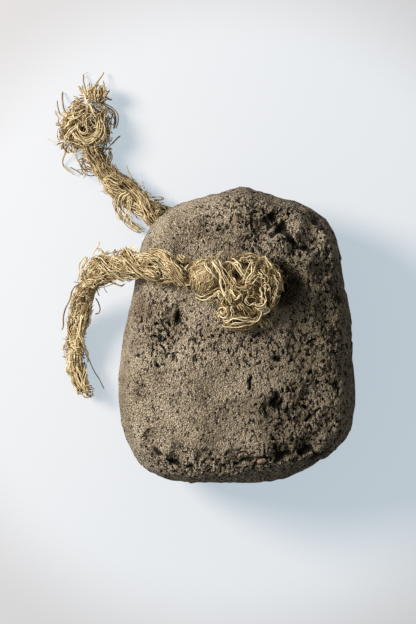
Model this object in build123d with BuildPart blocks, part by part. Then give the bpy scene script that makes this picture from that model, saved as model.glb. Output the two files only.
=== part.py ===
from build123d import *
from math import dist, hypot, pi, radians, sin, tan
import os

# A hand-shaped mud loom weight lying on its back, with a through hole near its top.
# A worn plant-fibre rope passes through the hole. On the front it opens into a
# frayed knot and then falls over the left edge. On the back it leaves under the
# upper left shoulder and ends in a frayed ball.
# Millimetres. +Z out of the front face, +Y to the narrow top end, +X to the right.
# The origin is at the middle of the clay body's box, on the surface that it lies on.

# Clay body: plan outline at the widest level, counter-clockwise from the top
OUTLINE = [
    (0.5, 62.0), (-11.5, 59.4), (-26.0, 54.0), (-37.8, 44.0), (-42.6, 24.0), (-46.8, 1.0),
    (-49.6, -20.5), (-47.5, -38.5), (-41.5, -52.0), (-28.0, -60.9), (-6.0, -62.0),
    (17.0, -60.5), (35.5, -53.2), (46.5, -43.0), (49.6, -28.0), (49.3, -12.0),
    (48.2, 9.0), (45.0, 26.5), (42.3, 40.5), (36.5, 49.0), (25.5, 56.2), (14.0, 59.0),
]
# Each level of the body: height, how far it is drawn in, and how much more at the top end
LEVELS = [
    (0.0, 13.0, 30.0), (5.0, 6.5, 16.0), (12.0, 2.5, 6.0), (24.0, 0.0, 0.0),
    (36.0, 0.8, 0.0), (46.0, 3.5, 2.0), (52.0, 8.0, 6.0), (55.0, 16.0, 14.0), (56.5, 28.0, 22.0),
]

# Through hole, with its front mouth worn round by the rope and leaning with the face
HOLE_X, HOLE_Y = 17.4, 20.5
HOLE_RADIUS = 6.8
MOUTH_ROUND = 5.0
MOUTH_Z = 55.8
MOUTH_LEAN = (0.04, 0.06, 1.0)

# Shallow thumb dent to the right of the hole
DENT_X, DENT_Y, DENT_Z = 29.2, 13.2, 54.4
DENT_RADIUS, DENT_DEPTH = 12.0, 1.6

# Hollows worn and pressed into the front face and its shoulders: place, half width and depth
HOLLOWS = [
    (13.0, 46.5, 5.5, 1.8), (27.0, 36.5, 6.0, 1.8), (33.5, 44.0, 5.0, 1.3), (3.0, 36.0, 5.5, 1.0),
    (38.5, 30.0, 5.0, 1.3), (40.0, 12.0, 5.5, 1.3), (16.5, -28.5, 6.5, 1.8), (28.5, -33.0, 5.5, 1.2),
    (8.0, -3.0, 6.0, 1.2), (18.5, -12.0, 6.0, 1.2), (29.5, -5.0, 6.0, 1.1), (38.5, -20.0, 6.0, 1.3),
    (-24.0, 8.0, 5.0, 1.4), (-32.0, -3.0, 5.5, 1.2), (-8.0, -20.0, 7.0, 0.9), (-22.0, -30.0, 7.0, 0.8),
    (2.0, -36.0, 6.5, 0.9), (-36.0, -46.5, 6.0, 1.6), (-24.5, -51.5, 6.0, 1.7), (-11.0, -52.5, 6.0, 1.6),
    (1.0, -52.0, 5.0, 1.4), (20.0, -50.0, 5.5, 1.6), (31.0, -46.0, 6.0, 1.7), (41.0, -36.0, 5.5, 1.4),
    (-20.0, 43.0, 6.5, 0.8), (-9.5, 50.5, 5.0, 0.9), (21.5, 51.0, 5.0, 1.3), (-40.0, -22.0, 5.5, 0.9),
]
# How deep the sides are hollowed between their swellings, at each of these heights
SIDE_HOLLOWS = {5.0: 1.2, 12.0: 1.3, 36.0: 1.3, 46.0: 1.1}
SIDE_SWING, SIDE_CLIMB = 2.2, 0.19

# Stones in the clay: centre, length and thickness, and the turn about Z
STONES = [
    ((-0.3, 47.4, 51.7), 4.4, 2.9, 80.0),
    ((10.3, -51.2, 53.1), 4.2, 2.2, 10.0),
    ((-39.9, 6.2, 49.3), 1.9, 1.4, 30.0),
    ((-38.9, 2.9, 51.2), 1.7, 1.3, 120.0),
]
SOCKET_PLAY = 0.1

# Rope
ROPE = 10.0
ROPE_X, ROPE_Y = 16.0, 20.5
FRONT_END_Z = 49.0
BACK_END_Z = 20.0
LIE_Z = 5.3

# Bed worn into the back of the clay, in which the rope leaves the hole
BED_RADIUS = 6.1
BED_END = (-40.0, 54.6)

# Front stretch, from the frayed knot over the left edge to its cut end
FRONT_ROUTE = [
    (-18.0, 24.6, 61.3), (-28.5, 27.6, 60.1), (-38.9, 29.3, 55.9), (-47.8, 29.9, 48.5),
    (-55.2, 28.4, 38.4), (-60.9, 24.0, 27.2), (-64.7, 16.4, 16.2), (-67.4, 6.6, 9.2),
    (-68.9, -3.6, 5.9), (-68.5, -14.4, 5.3), (-65.2, -24.6, 6.0),
]
# Back stretch, down out of the hole, under the top end and up to the frayed ball
BACK_ROUTE = [
    (ROPE_X, ROPE_Y, BACK_END_Z), (ROPE_X, ROPE_Y, 11.4), (10.6, 23.7, LIE_Z),
    (0.2, 29.6, LIE_Z), (-15.4, 39.6, LIE_Z), (-31.0, 49.0, LIE_Z), (-43.4, 58.4, 5.5),
    (-53.4, 66.9, 6.2), (-58.9, 74.4, 7.4), (-62.4, 81.9, 8.7),
]

# Frayed knot over the hole: lobes, each a centre, a plan radius and a half height
KNOT_LOBES = [
    ((4.0, 20.0, 60.6), 14.6, 8.8),
    ((-12.6, 24.0, 61.2), 7.8, 7.4),
    ((2.4, 10.4, 58.6), 8.6, 5.4),
    ((11.0, 22.4, 60.2), 9.0, 8.2),
]
KNOT_LIFT = 0.3
KNOT_FLOOR_Z = 55.2

# Frayed ball at the back end
BALL_CENTRE = (-63.1, 91.6, 9.6)
BALL_RADIUS, BALL_HALF_HEIGHT = 14.3, 9.2


def ring_at(height, inset, top_inset):
    """Outline points drawn in towards the middle, further in at the top end and in side hollows."""
    ring = []
    for index, (x, y) in enumerate(OUTLINE):
        reach = hypot(x, y)
        hollow = SIDE_HOLLOWS.get(height, 0.0) * (0.5 + 0.5 * sin(SIDE_SWING * index + SIDE_CLIMB * height))
        drawn = reach - inset - top_inset * max(0.0, y / reach) ** 2 - hollow
        ring.append((x * drawn / reach, y * drawn / reach))
    return ring


def face_height(solid, x, y):
    """Height of the front face over a place."""
    upright = Edge.make_line((x, y, LEVELS[3][0]), (x, y, LEVELS[-1][0] + 1))
    return (solid & upright).bounding_box().max.Z


def corner_radii(route):
    """Radius at each corner: 0.45 of the shorter run over the tangent of half the turn."""
    radii = []
    for before, here, after in zip(route, route[1:], route[2:]):
        into = Vector(*here) - Vector(*before)
        out = Vector(*after) - Vector(*here)
        half_turn = radians(into.get_angle(out)) / 2
        radii.append(0.45 * min(into.length, out.length) / tan(half_turn))
    return radii


def report_route(name, route, solid):
    """Print a stretch's runs and radii, and its volume against section times length."""
    radii = corner_radii(route)
    path_length = FilletPolyline(*route, radius=radii, mode=Mode.PRIVATE).length
    runs = [round(dist(a, b), 1) for a, b in zip(route, route[1:])]
    print(name, "runs", runs)
    print(name, "radii", [round(r, 1) for r in radii])
    expected = pi * (ROPE / 2) ** 2 * path_length
    print(name, "length", round(path_length, 1), "volume", round(solid.volume), "of", round(expected))


def tube_along(route, radius):
    """Round tube along straight runs joined by tangent arcs."""
    with BuildPart() as tube:
        with BuildLine() as path:
            FilletPolyline(*route, radius=corner_radii(route))
        start = Plane(origin=route[0], z_dir=Vector(*route[1]) - Vector(*route[0]))
        with BuildSketch(start):
            Circle(radius)
        sweep(path=path.line)
    return tube.part


def lobe(centre, plan_radius, half_height):
    """Ball flattened along Z."""
    with BuildPart() as blob:
        Sphere(plan_radius)
        scale(by=(1, 1, half_height / plan_radius))
    return blob.part.moved(Location(centre))


def stone(centre, length, thickness, turn, play=0.0):
    """Egg-shaped stone, or with play its slightly larger socket."""
    radius = thickness / 2 + play
    with BuildPart() as pebble:
        Sphere(radius)
        scale(by=((length / 2 + play) / radius, 1, 1))
    return pebble.part.moved(Location(centre, (0, 0, turn)))


os.makedirs("parts", exist_ok=True)

# Clay body
with BuildPart() as clay_body:
    for height, inset, top_inset in LEVELS:
        with BuildSketch(Plane.XY.offset(height)):
            with BuildLine():
                Spline(*ring_at(height, inset, top_inset), periodic=True)
            make_face()
    loft()
    # Each hollow is the cap of a ball, half_width across from its middle and depth deep
    balls = []
    for x, y, half_width, depth in HOLLOWS:
        ball_radius = (half_width**2 + depth**2) / (2 * depth)
        balls.append(((x, y, face_height(clay_body.part, x, y) + ball_radius - depth), ball_radius))
    for centre, ball_radius in balls:
        with Locations(centre):
            Sphere(ball_radius, mode=Mode.SUBTRACT)
    # Through hole and its worn front mouth
    with BuildSketch(Plane.XY.offset(-1)):
        with Locations((HOLE_X, HOLE_Y)):
            Circle(HOLE_RADIUS)
    extrude(amount=70, mode=Mode.SUBTRACT)
    mouth_up = Vector(*MOUTH_LEAN).normalized()
    mouth_across = Vector(1, 0, -MOUTH_LEAN[0]).normalized()
    mouth_centre = (HOLE_X, HOLE_Y, MOUTH_Z)
    with BuildSketch(Plane(origin=mouth_centre, x_dir=mouth_across, z_dir=mouth_across.cross(mouth_up))):
        with BuildLine():
            rim = HOLE_RADIUS + MOUTH_ROUND
            RadiusArc((HOLE_RADIUS, -MOUTH_ROUND), (rim, 0), MOUTH_ROUND)
            Polyline((rim, 0), (rim, MOUTH_ROUND), (0, MOUTH_ROUND), (0, -MOUTH_ROUND),
                     (HOLE_RADIUS, -MOUTH_ROUND))
        make_face()
    revolve(axis=Axis(mouth_centre, mouth_up), mode=Mode.SUBTRACT)
    # Bed for the rope: a round trough along its route, open down to the surface
    add(tube_along(BACK_ROUTE[:7], BED_RADIUS), mode=Mode.SUBTRACT)
    bed_length = hypot(BED_END[0] - ROPE_X, BED_END[1] - ROPE_Y)
    bed_x = Vector(BED_END[0] - ROPE_X, BED_END[1] - ROPE_Y, 0)
    with BuildSketch(Plane(origin=(ROPE_X, ROPE_Y, -1), x_dir=bed_x, z_dir=(0, 0, 1))):
        with Locations((bed_length / 2, 0)):
            SlotCenterToCenter(bed_length, 2 * BED_RADIUS)
    extrude(amount=1 + LIE_Z, mode=Mode.SUBTRACT)
    # Thumb dent and the sockets of the stones
    with Locations((DENT_X, DENT_Y, DENT_Z + DENT_RADIUS - DENT_DEPTH)):
        Sphere(DENT_RADIUS, mode=Mode.SUBTRACT)
    for centre, length, thickness, turn in STONES:
        add(stone(centre, length, thickness, turn, SOCKET_PLAY), mode=Mode.SUBTRACT)
clay_body.part.label = "clay_body"
export_step(clay_body.part, "parts/clay_body.step")

# Stones that show in the clay
with BuildPart() as stones:
    for centre, length, thickness, turn in STONES:
        add(stone(centre, length, thickness, turn))
stones.part.label = "stones"
export_step(stones.part, "parts/stones.step")

# Rope inside the hole, pressed against the hole's left wall
with BuildPart() as rope_in_hole:
    with BuildSketch(Plane.XY.offset(BACK_END_Z)):
        with Locations((ROPE_X, ROPE_Y)):
            Circle(ROPE / 2)
    extrude(amount=FRONT_END_Z - BACK_END_Z)
rope_in_hole.part.label = "rope_in_hole"
export_step(rope_in_hole.part, "parts/rope_in_hole.step")

# Frayed knot: lobes over the hole's mouth and a stem down to the rope inside it
with BuildPart() as frayed_knot:
    for centre, plan_radius, half_height in KNOT_LOBES:
        add(lobe(centre, plan_radius, half_height))
    with BuildSketch(Plane.XY.offset(KNOT_FLOOR_Z)):
        Rectangle(200, 200)
    extrude(amount=-40, mode=Mode.SUBTRACT)
    add(clay_body.part.moved(Location((0, 0, KNOT_LIFT))), mode=Mode.SUBTRACT)
    with BuildSketch(Plane.XY.offset(FRONT_END_Z)):
        with Locations((ROPE_X, ROPE_Y)):
            Circle(ROPE / 2)
    extrude(amount=12)
    # Flat where the front stretch of the rope leaves it
    leave = Plane(origin=FRONT_ROUTE[0], z_dir=Vector(*FRONT_ROUTE[1]) - Vector(*FRONT_ROUTE[0]))
    with BuildSketch(leave):
        Rectangle(80, 80)
    extrude(amount=30, mode=Mode.SUBTRACT)
frayed_knot.part.label = "frayed_knot"
export_step(frayed_knot.part, "parts/frayed_knot.step")

# Front and back stretches of the rope
with BuildPart() as rope_front:
    add(tube_along(FRONT_ROUTE, ROPE / 2))
rope_front.part.label = "rope_front"
export_step(rope_front.part, "parts/rope_front.step")
report_route("rope_front", FRONT_ROUTE, rope_front.part)

with BuildPart() as rope_back:
    add(tube_along(BACK_ROUTE, ROPE / 2))
rope_back.part.label = "rope_back"
export_step(rope_back.part, "parts/rope_back.step")
report_route("rope_back", BACK_ROUTE, rope_back.part)

# Frayed ball, flat where the rope enters it
with BuildPart() as frayed_ball:
    add(lobe(BALL_CENTRE, BALL_RADIUS, BALL_HALF_HEIGHT))
    enter = Plane(origin=BACK_ROUTE[-1], z_dir=Vector(*BACK_ROUTE[-2]) - Vector(*BACK_ROUTE[-1]))
    with BuildSketch(enter):
        Rectangle(80, 80)
    extrude(amount=30, mode=Mode.SUBTRACT)
frayed_ball.part.label = "frayed_ball"
export_step(frayed_ball.part, "parts/frayed_ball.step")

box = clay_body.part.bounding_box()
print("clay_body box", [round(v, 2) for v in (*box.min, *box.max)])
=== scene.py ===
"""Looks of a mud loom weight and its frayed plant-fibre rope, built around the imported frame.

The weight lies on its back and is seen from straight above, lit low from the left.
Lengths are in millimetres until a mesh is made, and in metres in Blender.
"""
import functools
import itertools
import logging
import math
from collections.abc import Iterator
from dataclasses import dataclass, field
from enum import Enum

import bpy
import numpy as np
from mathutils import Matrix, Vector


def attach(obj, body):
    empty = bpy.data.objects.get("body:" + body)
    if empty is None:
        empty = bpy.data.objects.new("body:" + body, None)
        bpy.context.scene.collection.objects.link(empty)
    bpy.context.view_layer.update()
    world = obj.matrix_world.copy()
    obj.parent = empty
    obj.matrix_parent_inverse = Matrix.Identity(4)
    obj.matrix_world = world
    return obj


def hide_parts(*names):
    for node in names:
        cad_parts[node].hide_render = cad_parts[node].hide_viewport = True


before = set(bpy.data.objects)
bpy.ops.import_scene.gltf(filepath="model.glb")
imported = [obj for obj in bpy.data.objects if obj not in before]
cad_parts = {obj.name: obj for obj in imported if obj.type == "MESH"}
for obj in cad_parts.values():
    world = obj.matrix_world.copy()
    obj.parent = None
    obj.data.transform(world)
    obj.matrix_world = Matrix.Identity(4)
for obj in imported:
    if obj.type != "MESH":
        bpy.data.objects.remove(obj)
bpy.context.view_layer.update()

log = logging.getLogger("loom_weight")
MM = 0.001
BODY = "root"
Array = np.ndarray
Triple = tuple[float, float, float]
Socket, Material, Piece = bpy.types.NodeSocket, bpy.types.Material, bpy.types.Object
Rng = np.random.Generator

PHOTO_WIDTH, PHOTO_HEIGHT = 416, 624
PHOTO_MM_PER_PIXEL = 0.42
PHOTO_CENTRE = (-11.8, 9.9)
CAMERA_HEIGHT = 1100.0
SCALE_HEIGHT = 28.0

# Heights at which the marks of the photograph are read
FACE_HEIGHT, GROOVE_HEIGHT = 52.0, 53.0
DENT_HEIGHT, KNOT_HEIGHT, BALL_HEIGHT = 63.0, 65.0, 14.0
FRONT_ROPE_HEIGHT, BACK_ROPE_HEIGHT = 40.0, 12.0

# Rope: the same points as the frame's tubes
HOLE_X, HOLE_Y = 17.4, 20.5
ROPE_X, ROPE_Y = 16.0, 20.5
BACK_END_Z = 20.0
FRONT_ROUTE = [
    (-18.0, 24.6, 61.3), (-28.5, 27.6, 60.1), (-38.9, 29.3, 55.9), (-47.8, 29.9, 48.5),
    (-55.2, 28.4, 38.4), (-60.9, 24.0, 27.2), (-64.7, 16.4, 16.2), (-67.4, 6.6, 9.2),
    (-68.9, -3.6, 5.9), (-68.5, -14.4, 5.3), (-65.2, -24.6, 6.0),
]
BACK_ROUTE = [
    (ROPE_X, ROPE_Y, BACK_END_Z), (ROPE_X, ROPE_Y, 11.4), (10.6, 23.7, 5.3),
    (0.2, 29.6, 5.3), (-15.4, 39.6, 5.3), (-31.0, 49.0, 5.3), (-43.4, 58.4, 5.5),
    (-53.4, 66.9, 6.2), (-58.9, 74.4, 7.4), (-62.4, 81.9, 8.7),
]
ROUTE_STEP = 1.0
FLOOR_GAP = 0.25
FULL_TURN = 2.0 * math.pi
POLES = (0.06, 0.94)


class Slot(Enum):
    """Names of the finishes clay, stone and rope."""

    CLAY = "clay"
    STONE = "stone"
    ROPE = "rope"


def seen_at(pixel_x: float, pixel_y: float, height: float) -> tuple[float, float]:
    """Place on the object, in millimetres, of a photograph's pixel at a height above the floor.

    Args:
        pixel_x: column in the photograph.
        pixel_y: row in the photograph.
        height: height of the thing seen there.

    Returns:
        X and Y in the frame.
    """
    scale = PHOTO_MM_PER_PIXEL * (CAMERA_HEIGHT - height) / (CAMERA_HEIGHT - SCALE_HEIGHT)
    x = PHOTO_CENTRE[0] + (pixel_x - PHOTO_WIDTH / 2) * scale
    y = PHOTO_CENTRE[1] + (PHOTO_HEIGHT / 2 - pixel_y) * scale
    return x, y


def unit(vectors: Array) -> Array:
    """Vectors divided by their lengths along the last axis."""
    return vectors / np.maximum(np.linalg.norm(vectors, axis=-1, keepdims=True), 1e-12)


def eased(share: Array) -> Array:
    """3t^2 - 2t^3, which leaves 0 and reaches 1 without a bend."""
    return share * share * (3.0 - 2.0 * share)


def smooth_step(value: Array, low: float, high: float) -> Array:
    """Eased share of the way from low to high that the value has come."""
    return eased(np.clip((value - low) / (high - low), 0.0, 1.0))


def hashed(cells: Array, seed: int) -> Array:
    """One steady pseudo-random number from 0 to 1 for each integer cell, by mixing its bits.

    Args:
        cells: integers, with three in the last axis.
        seed: picks another set of numbers.

    Returns:
        Numbers with the shape of cells less its last axis.
    """
    whole = cells.astype(np.int64).astype(np.uint32)
    mixed = (whole[..., 0] * np.uint32(374761393) + whole[..., 1] * np.uint32(668265263)
             + whole[..., 2] * np.uint32(2246822519) + np.uint32(seed * 3266489 + 974711))
    mixed = (mixed ^ (mixed >> np.uint32(15))) * np.uint32(2246822519)
    mixed = (mixed ^ (mixed >> np.uint32(13))) * np.uint32(3266489917)
    return (mixed ^ (mixed >> np.uint32(16))) / 4294967296.0


def hashed_places(cells: Array, seed: int) -> Array:
    """Three pseudo-random numbers from 0 to 1 for each integer cell, shape (n, 3)."""
    return np.stack([hashed(cells, seed + k) for k in range(3)], axis=1)


def cells_round(points: Array, cell: float) -> Iterator[Array]:
    """The lattice cell of each point, and then each of the 26 cells round it, as integers."""
    base = np.floor(points / cell)
    for offset in itertools.product((-1, 0, 1), repeat=3):
        yield base + np.array(offset)


def value_noise(points: Array, size: float, seed: int) -> Array:
    """Noise from -1 to 1: hashed corners of a lattice, with an eased blend in each cell.

    Args:
        points: places, with three in the last axis.
        size: the lattice's spacing.
        seed: picks another pattern.

    Returns:
        One number for each point.
    """
    scaled = points / size
    base = np.floor(scaled)
    share = eased(scaled - base)
    total = np.zeros(points.shape[:-1])
    for corner in itertools.product((0, 1), repeat=3):
        weight = np.prod(np.where(np.array(corner) == 1, share, 1.0 - share), axis=-1)
        total += weight * hashed(base + np.array(corner), seed)
    return 2.0 * total - 1.0


def layered_noise(points: Array, size: float, seed: int, layers: int = 3) -> Array:
    """Sum of value noises, each half the size and half the strength of the one before."""
    return sum(value_noise(points, size / 2 ** k, seed + k) / 2 ** k for k in range(layers))


def shifted(points: Array, amount: float, size: float, seed: int) -> Array:
    """Points moved by three value noises of one size."""
    return points + amount * np.stack([value_noise(points, size, seed + k) for k in range(3)], axis=1)


def line_noise(count: int, steps: int, knots: int, rng: Rng) -> Array:
    """Smooth wander along each of many lines: random knots with an eased blend between them.

    Args:
        count: number of lines.
        steps: points on each line.
        knots: random values along each line.
        rng: source of the random values.

    Returns:
        Wander from about -1 to 1, shape (count, steps, 3).
    """
    values = rng.uniform(-1.0, 1.0, (count, knots + 1, 3))
    place = np.linspace(0.0, knots - 1e-6, steps)
    index = place.astype(int)
    share = eased(place - index)[None, :, None]
    return values[:, index] * (1.0 - share) + values[:, index + 1] * share


def spread_evenly(line: Array, steps: int) -> Array:
    """A line of points read again at equal distances along it."""
    lengths = np.concatenate([[0.0], np.cumsum(np.linalg.norm(np.diff(line, axis=0), axis=1))])
    wanted = np.linspace(0.0, lengths[-1], steps)
    return np.stack([np.interp(wanted, lengths, line[:, k]) for k in range(3)], axis=1)


def smooth_line(points: Array, steps: int) -> Array:
    """Curve through given points: on each span, Catmull and Rom's cubic of four neighbours.

    Args:
        points: at least two points, shape (n, 3).
        steps: points wanted on the curve.

    Returns:
        Points at about equal distances, shape (steps, 3).
    """
    given = np.asarray(points, float)
    ends = np.vstack([2 * given[0] - given[1], given, 2 * given[-1] - given[-2]])
    place = np.linspace(0.0, len(given) - 1 - 1e-6, 16 * len(given))
    index = place.astype(int)
    t = (place - index)[:, None]
    p0, p1, p2, p3 = (ends[index + k] for k in range(4))
    curve = 0.5 * (2 * p1 + (p2 - p0) * t + (2 * p0 - 5 * p1 + 4 * p2 - p3) * t ** 2
                   + (3 * p1 - p0 - 3 * p2 + p3) * t ** 3)
    return spread_evenly(curve, steps)


def vectors_of(items: bpy.types.bpy_prop_collection, key: str) -> Array:
    """One property of three numbers, read from every item, shape (n, 3)."""
    flat = np.zeros(len(items) * 3, np.float32)
    items.foreach_get(key, flat)
    return flat.reshape(-1, 3)


def route_line(name: str, route: list[Triple]) -> Array:
    """Smooth line of a route: the NURBS spline with the route's points as its control points.

    Args:
        name: name of the short-lived curve.
        route: control points in millimetres.

    Returns:
        Points along the line in millimetres, ROUTE_STEP apart.
    """
    curve = bpy.data.curves.new(name + "_line", "CURVE")
    curve.dimensions = "3D"
    spline = curve.splines.new("NURBS")
    spline.points.add(len(route) - 1)
    flat = np.array([(x * MM, y * MM, z * MM, 1.0) for x, y, z in route], np.float32)
    spline.points.foreach_set("co", flat.ravel())
    spline.order_u = 3
    spline.use_endpoint_u = True
    spline.resolution_u = 24
    holder = bpy.data.objects.new(name + "_line", curve)
    mesh = bpy.data.meshes.new_from_object(holder)
    line = vectors_of(mesh.vertices, "co").astype(float) / MM
    bpy.data.objects.remove(holder)
    bpy.data.meshes.remove(mesh)
    bpy.data.curves.remove(curve)
    length = np.linalg.norm(np.diff(line, axis=0), axis=1).sum()
    return spread_evenly(line, int(length / ROUTE_STEP) + 1)


def carried_frames(lines: Array) -> tuple[Array, Array, Array]:
    """Tangent and two side directions along lines, the sides carried on without twist.

    Args:
        lines: shape (count, steps, 3).

    Returns:
        Tangents, first sides and second sides, each of the same shape.
    """
    tangents = unit(np.gradient(lines, axis=1))
    helper = np.where(np.abs(tangents[:, :1, 2:]) < 0.9, [[[0.0, 0.0, 1.0]]], [[[1.0, 0.0, 0.0]]])
    first = np.zeros_like(lines)
    side = unit(np.cross(tangents[:, 0], helper[:, 0]))
    for k in range(lines.shape[1]):
        along = np.sum(side * tangents[:, k], axis=-1, keepdims=True)
        side = unit(side - along * tangents[:, k])
        first[:, k] = side
    return tangents, first, np.cross(tangents, first)


def mesh_object(name: str, vertices: Array, quads: Array, triangles: Array) -> Piece:
    """Smooth-shaded mesh object at the origin, from whole arrays.

    Args:
        name: piece name.
        vertices: shape (n, 3), in millimetres.
        quads: vertex indices, shape (m, 4).
        triangles: vertex indices, shape (k, 3).

    Returns:
        The linked object, with its place in its mesh.
    """
    mesh = bpy.data.meshes.new(name)
    mesh.vertices.add(len(vertices))
    mesh.vertices.foreach_set("co", (vertices * MM).astype(np.float32).ravel())
    loops = np.concatenate([quads.ravel(), triangles.ravel()]).astype(np.int32)
    sizes = np.concatenate([np.full(len(quads), 4), np.full(len(triangles), 3)])
    mesh.loops.add(len(loops))
    mesh.loops.foreach_set("vertex_index", loops)
    mesh.polygons.add(len(sizes))
    mesh.polygons.foreach_set("loop_start", (np.cumsum(sizes) - sizes).astype(np.int32))
    mesh.polygons.foreach_set("use_smooth", np.ones(len(sizes), bool))
    mesh.update(calc_edges=True)
    mesh.validate()
    piece = bpy.data.objects.new(name, mesh)
    bpy.context.scene.collection.objects.link(piece)
    return piece


def give_attribute(piece: Piece, name: str, values: Array) -> None:
    """Store one number for each vertex, which a material reads by name."""
    attribute = piece.data.attributes.new(name, "FLOAT", "POINT")
    attribute.data.foreach_set("value", values.astype(np.float32))


@dataclass(frozen=True)
class Tint:
    """Spread of the fibres' shades: a beta spread times a strength, or even from a to b."""

    a: float
    b: float
    strength: float = 1.0
    even: bool = False

    def draw(self, rng: Rng, count: int) -> Array:
        """One shade for each of many fibres, from 0, dark, to 1, pale."""
        return self.strength * (rng.uniform if self.even else rng.beta)(self.a, self.b, count)


@dataclass
class FibreBundle:
    """Many thin fibres gathered into one mesh: rings of sides carried along lines, closed by a tip."""

    sides: int = 4
    vertices: list[Array] = field(default_factory=list)
    quads: list[Array] = field(default_factory=list)
    triangles: list[Array] = field(default_factory=list)
    tints: list[Array] = field(default_factory=list)
    count: int = 0

    def add(self, lines: Array, radius: Array | float, tint: Array | float, tip: float = 0.45) -> None:
        """Add fibres along lines, as round tubes that taper at both ends.

        A ring is line + radius * (cos a * side1 + sin a * side2), for a of whole shares of a turn.

        Args:
            lines: centre lines in millimetres, shape (count, steps, 3).
            radius: one radius for each fibre, or one for all.
            tint: shade of each fibre, from 0, dark, to 1, pale.
            tip: the ends' share of the radius.
        """
        lines = lines.copy()
        number, steps = lines.shape[:2]
        radius = np.broadcast_to(np.asarray(radius, float), (number,))
        tint = np.broadcast_to(np.asarray(tint, float), (number,))
        lines[..., 2] = np.maximum(lines[..., 2], radius[:, None] + FLOOR_GAP)
        tangents, first, second = carried_frames(lines)
        angles = np.arange(self.sides) * 2.0 * math.pi / self.sides
        taper = np.ones(steps)
        taper[[0, -1]] = tip
        wide = (radius[:, None] * taper[None, :])[:, :, None, None]
        rings = lines[:, :, None] + wide * (np.cos(angles)[None, None, :, None] * first[:, :, None]
                                            + np.sin(angles)[None, None, :, None] * second[:, :, None])
        poles = lines[:, [0, -1]] + tangents[:, [0, -1]] * (
            radius[:, None, None] * np.array([[[-0.4], [0.4]]]))
        per_fibre = steps * self.sides
        start = self.count + np.arange(number)[:, None, None] * (per_fibre + 2)
        corner = start + np.arange(steps - 1)[None, :, None] * self.sides
        here = np.arange(self.sides)[None, None, :]
        after = (here + 1) % self.sides
        quads = np.stack([corner + here, corner + after, corner + self.sides + after,
                          corner + self.sides + here], axis=-1)
        near_pole = start[:, 0] + per_fibre
        last = near_pole - self.sides
        side, next_side = here[0], after[0]
        near = np.stack([np.broadcast_to(near_pole, (number, self.sides)), start[:, 0] + next_side,
                         start[:, 0] + side], axis=-1)
        far = np.stack([np.broadcast_to(near_pole + 1, (number, self.sides)), last + side,
                        last + next_side], axis=-1)
        self.vertices.append(
            np.concatenate([rings.reshape(number, per_fibre, 3), poles], axis=1).reshape(-1, 3))
        self.quads.append(quads.reshape(-1, 4))
        self.triangles.extend([near.reshape(-1, 3), far.reshape(-1, 3)])
        self.tints.append(np.repeat(tint, per_fibre + 2))
        self.count += number * (per_fibre + 2)

    def grow(self, rng: Rng, lines: Array, radius: tuple[float, float], tint: Tint) -> None:
        """Add fibres along lines with random radii between two and random shades."""
        self.add(lines, rng.uniform(*radius, len(lines)), tint.draw(rng, len(lines)))

    def build(self, name: str, material: Material) -> Piece:
        """Make the piece, dress it, and let it ride on the body.

        Args:
            name: piece name.
            material: finish of the fibres.

        Returns:
            The piece.
        """
        piece = mesh_object(name, np.concatenate(self.vertices), np.concatenate(self.quads),
                            np.concatenate(self.triangles))
        give_attribute(piece, "tint", np.concatenate(self.tints))
        piece.data.materials.append(material)
        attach(piece, BODY)
        log.info("%s: %d triangles", name, 2 * sum(map(len, self.quads)) + sum(map(len, self.triangles)))
        return piece


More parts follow.
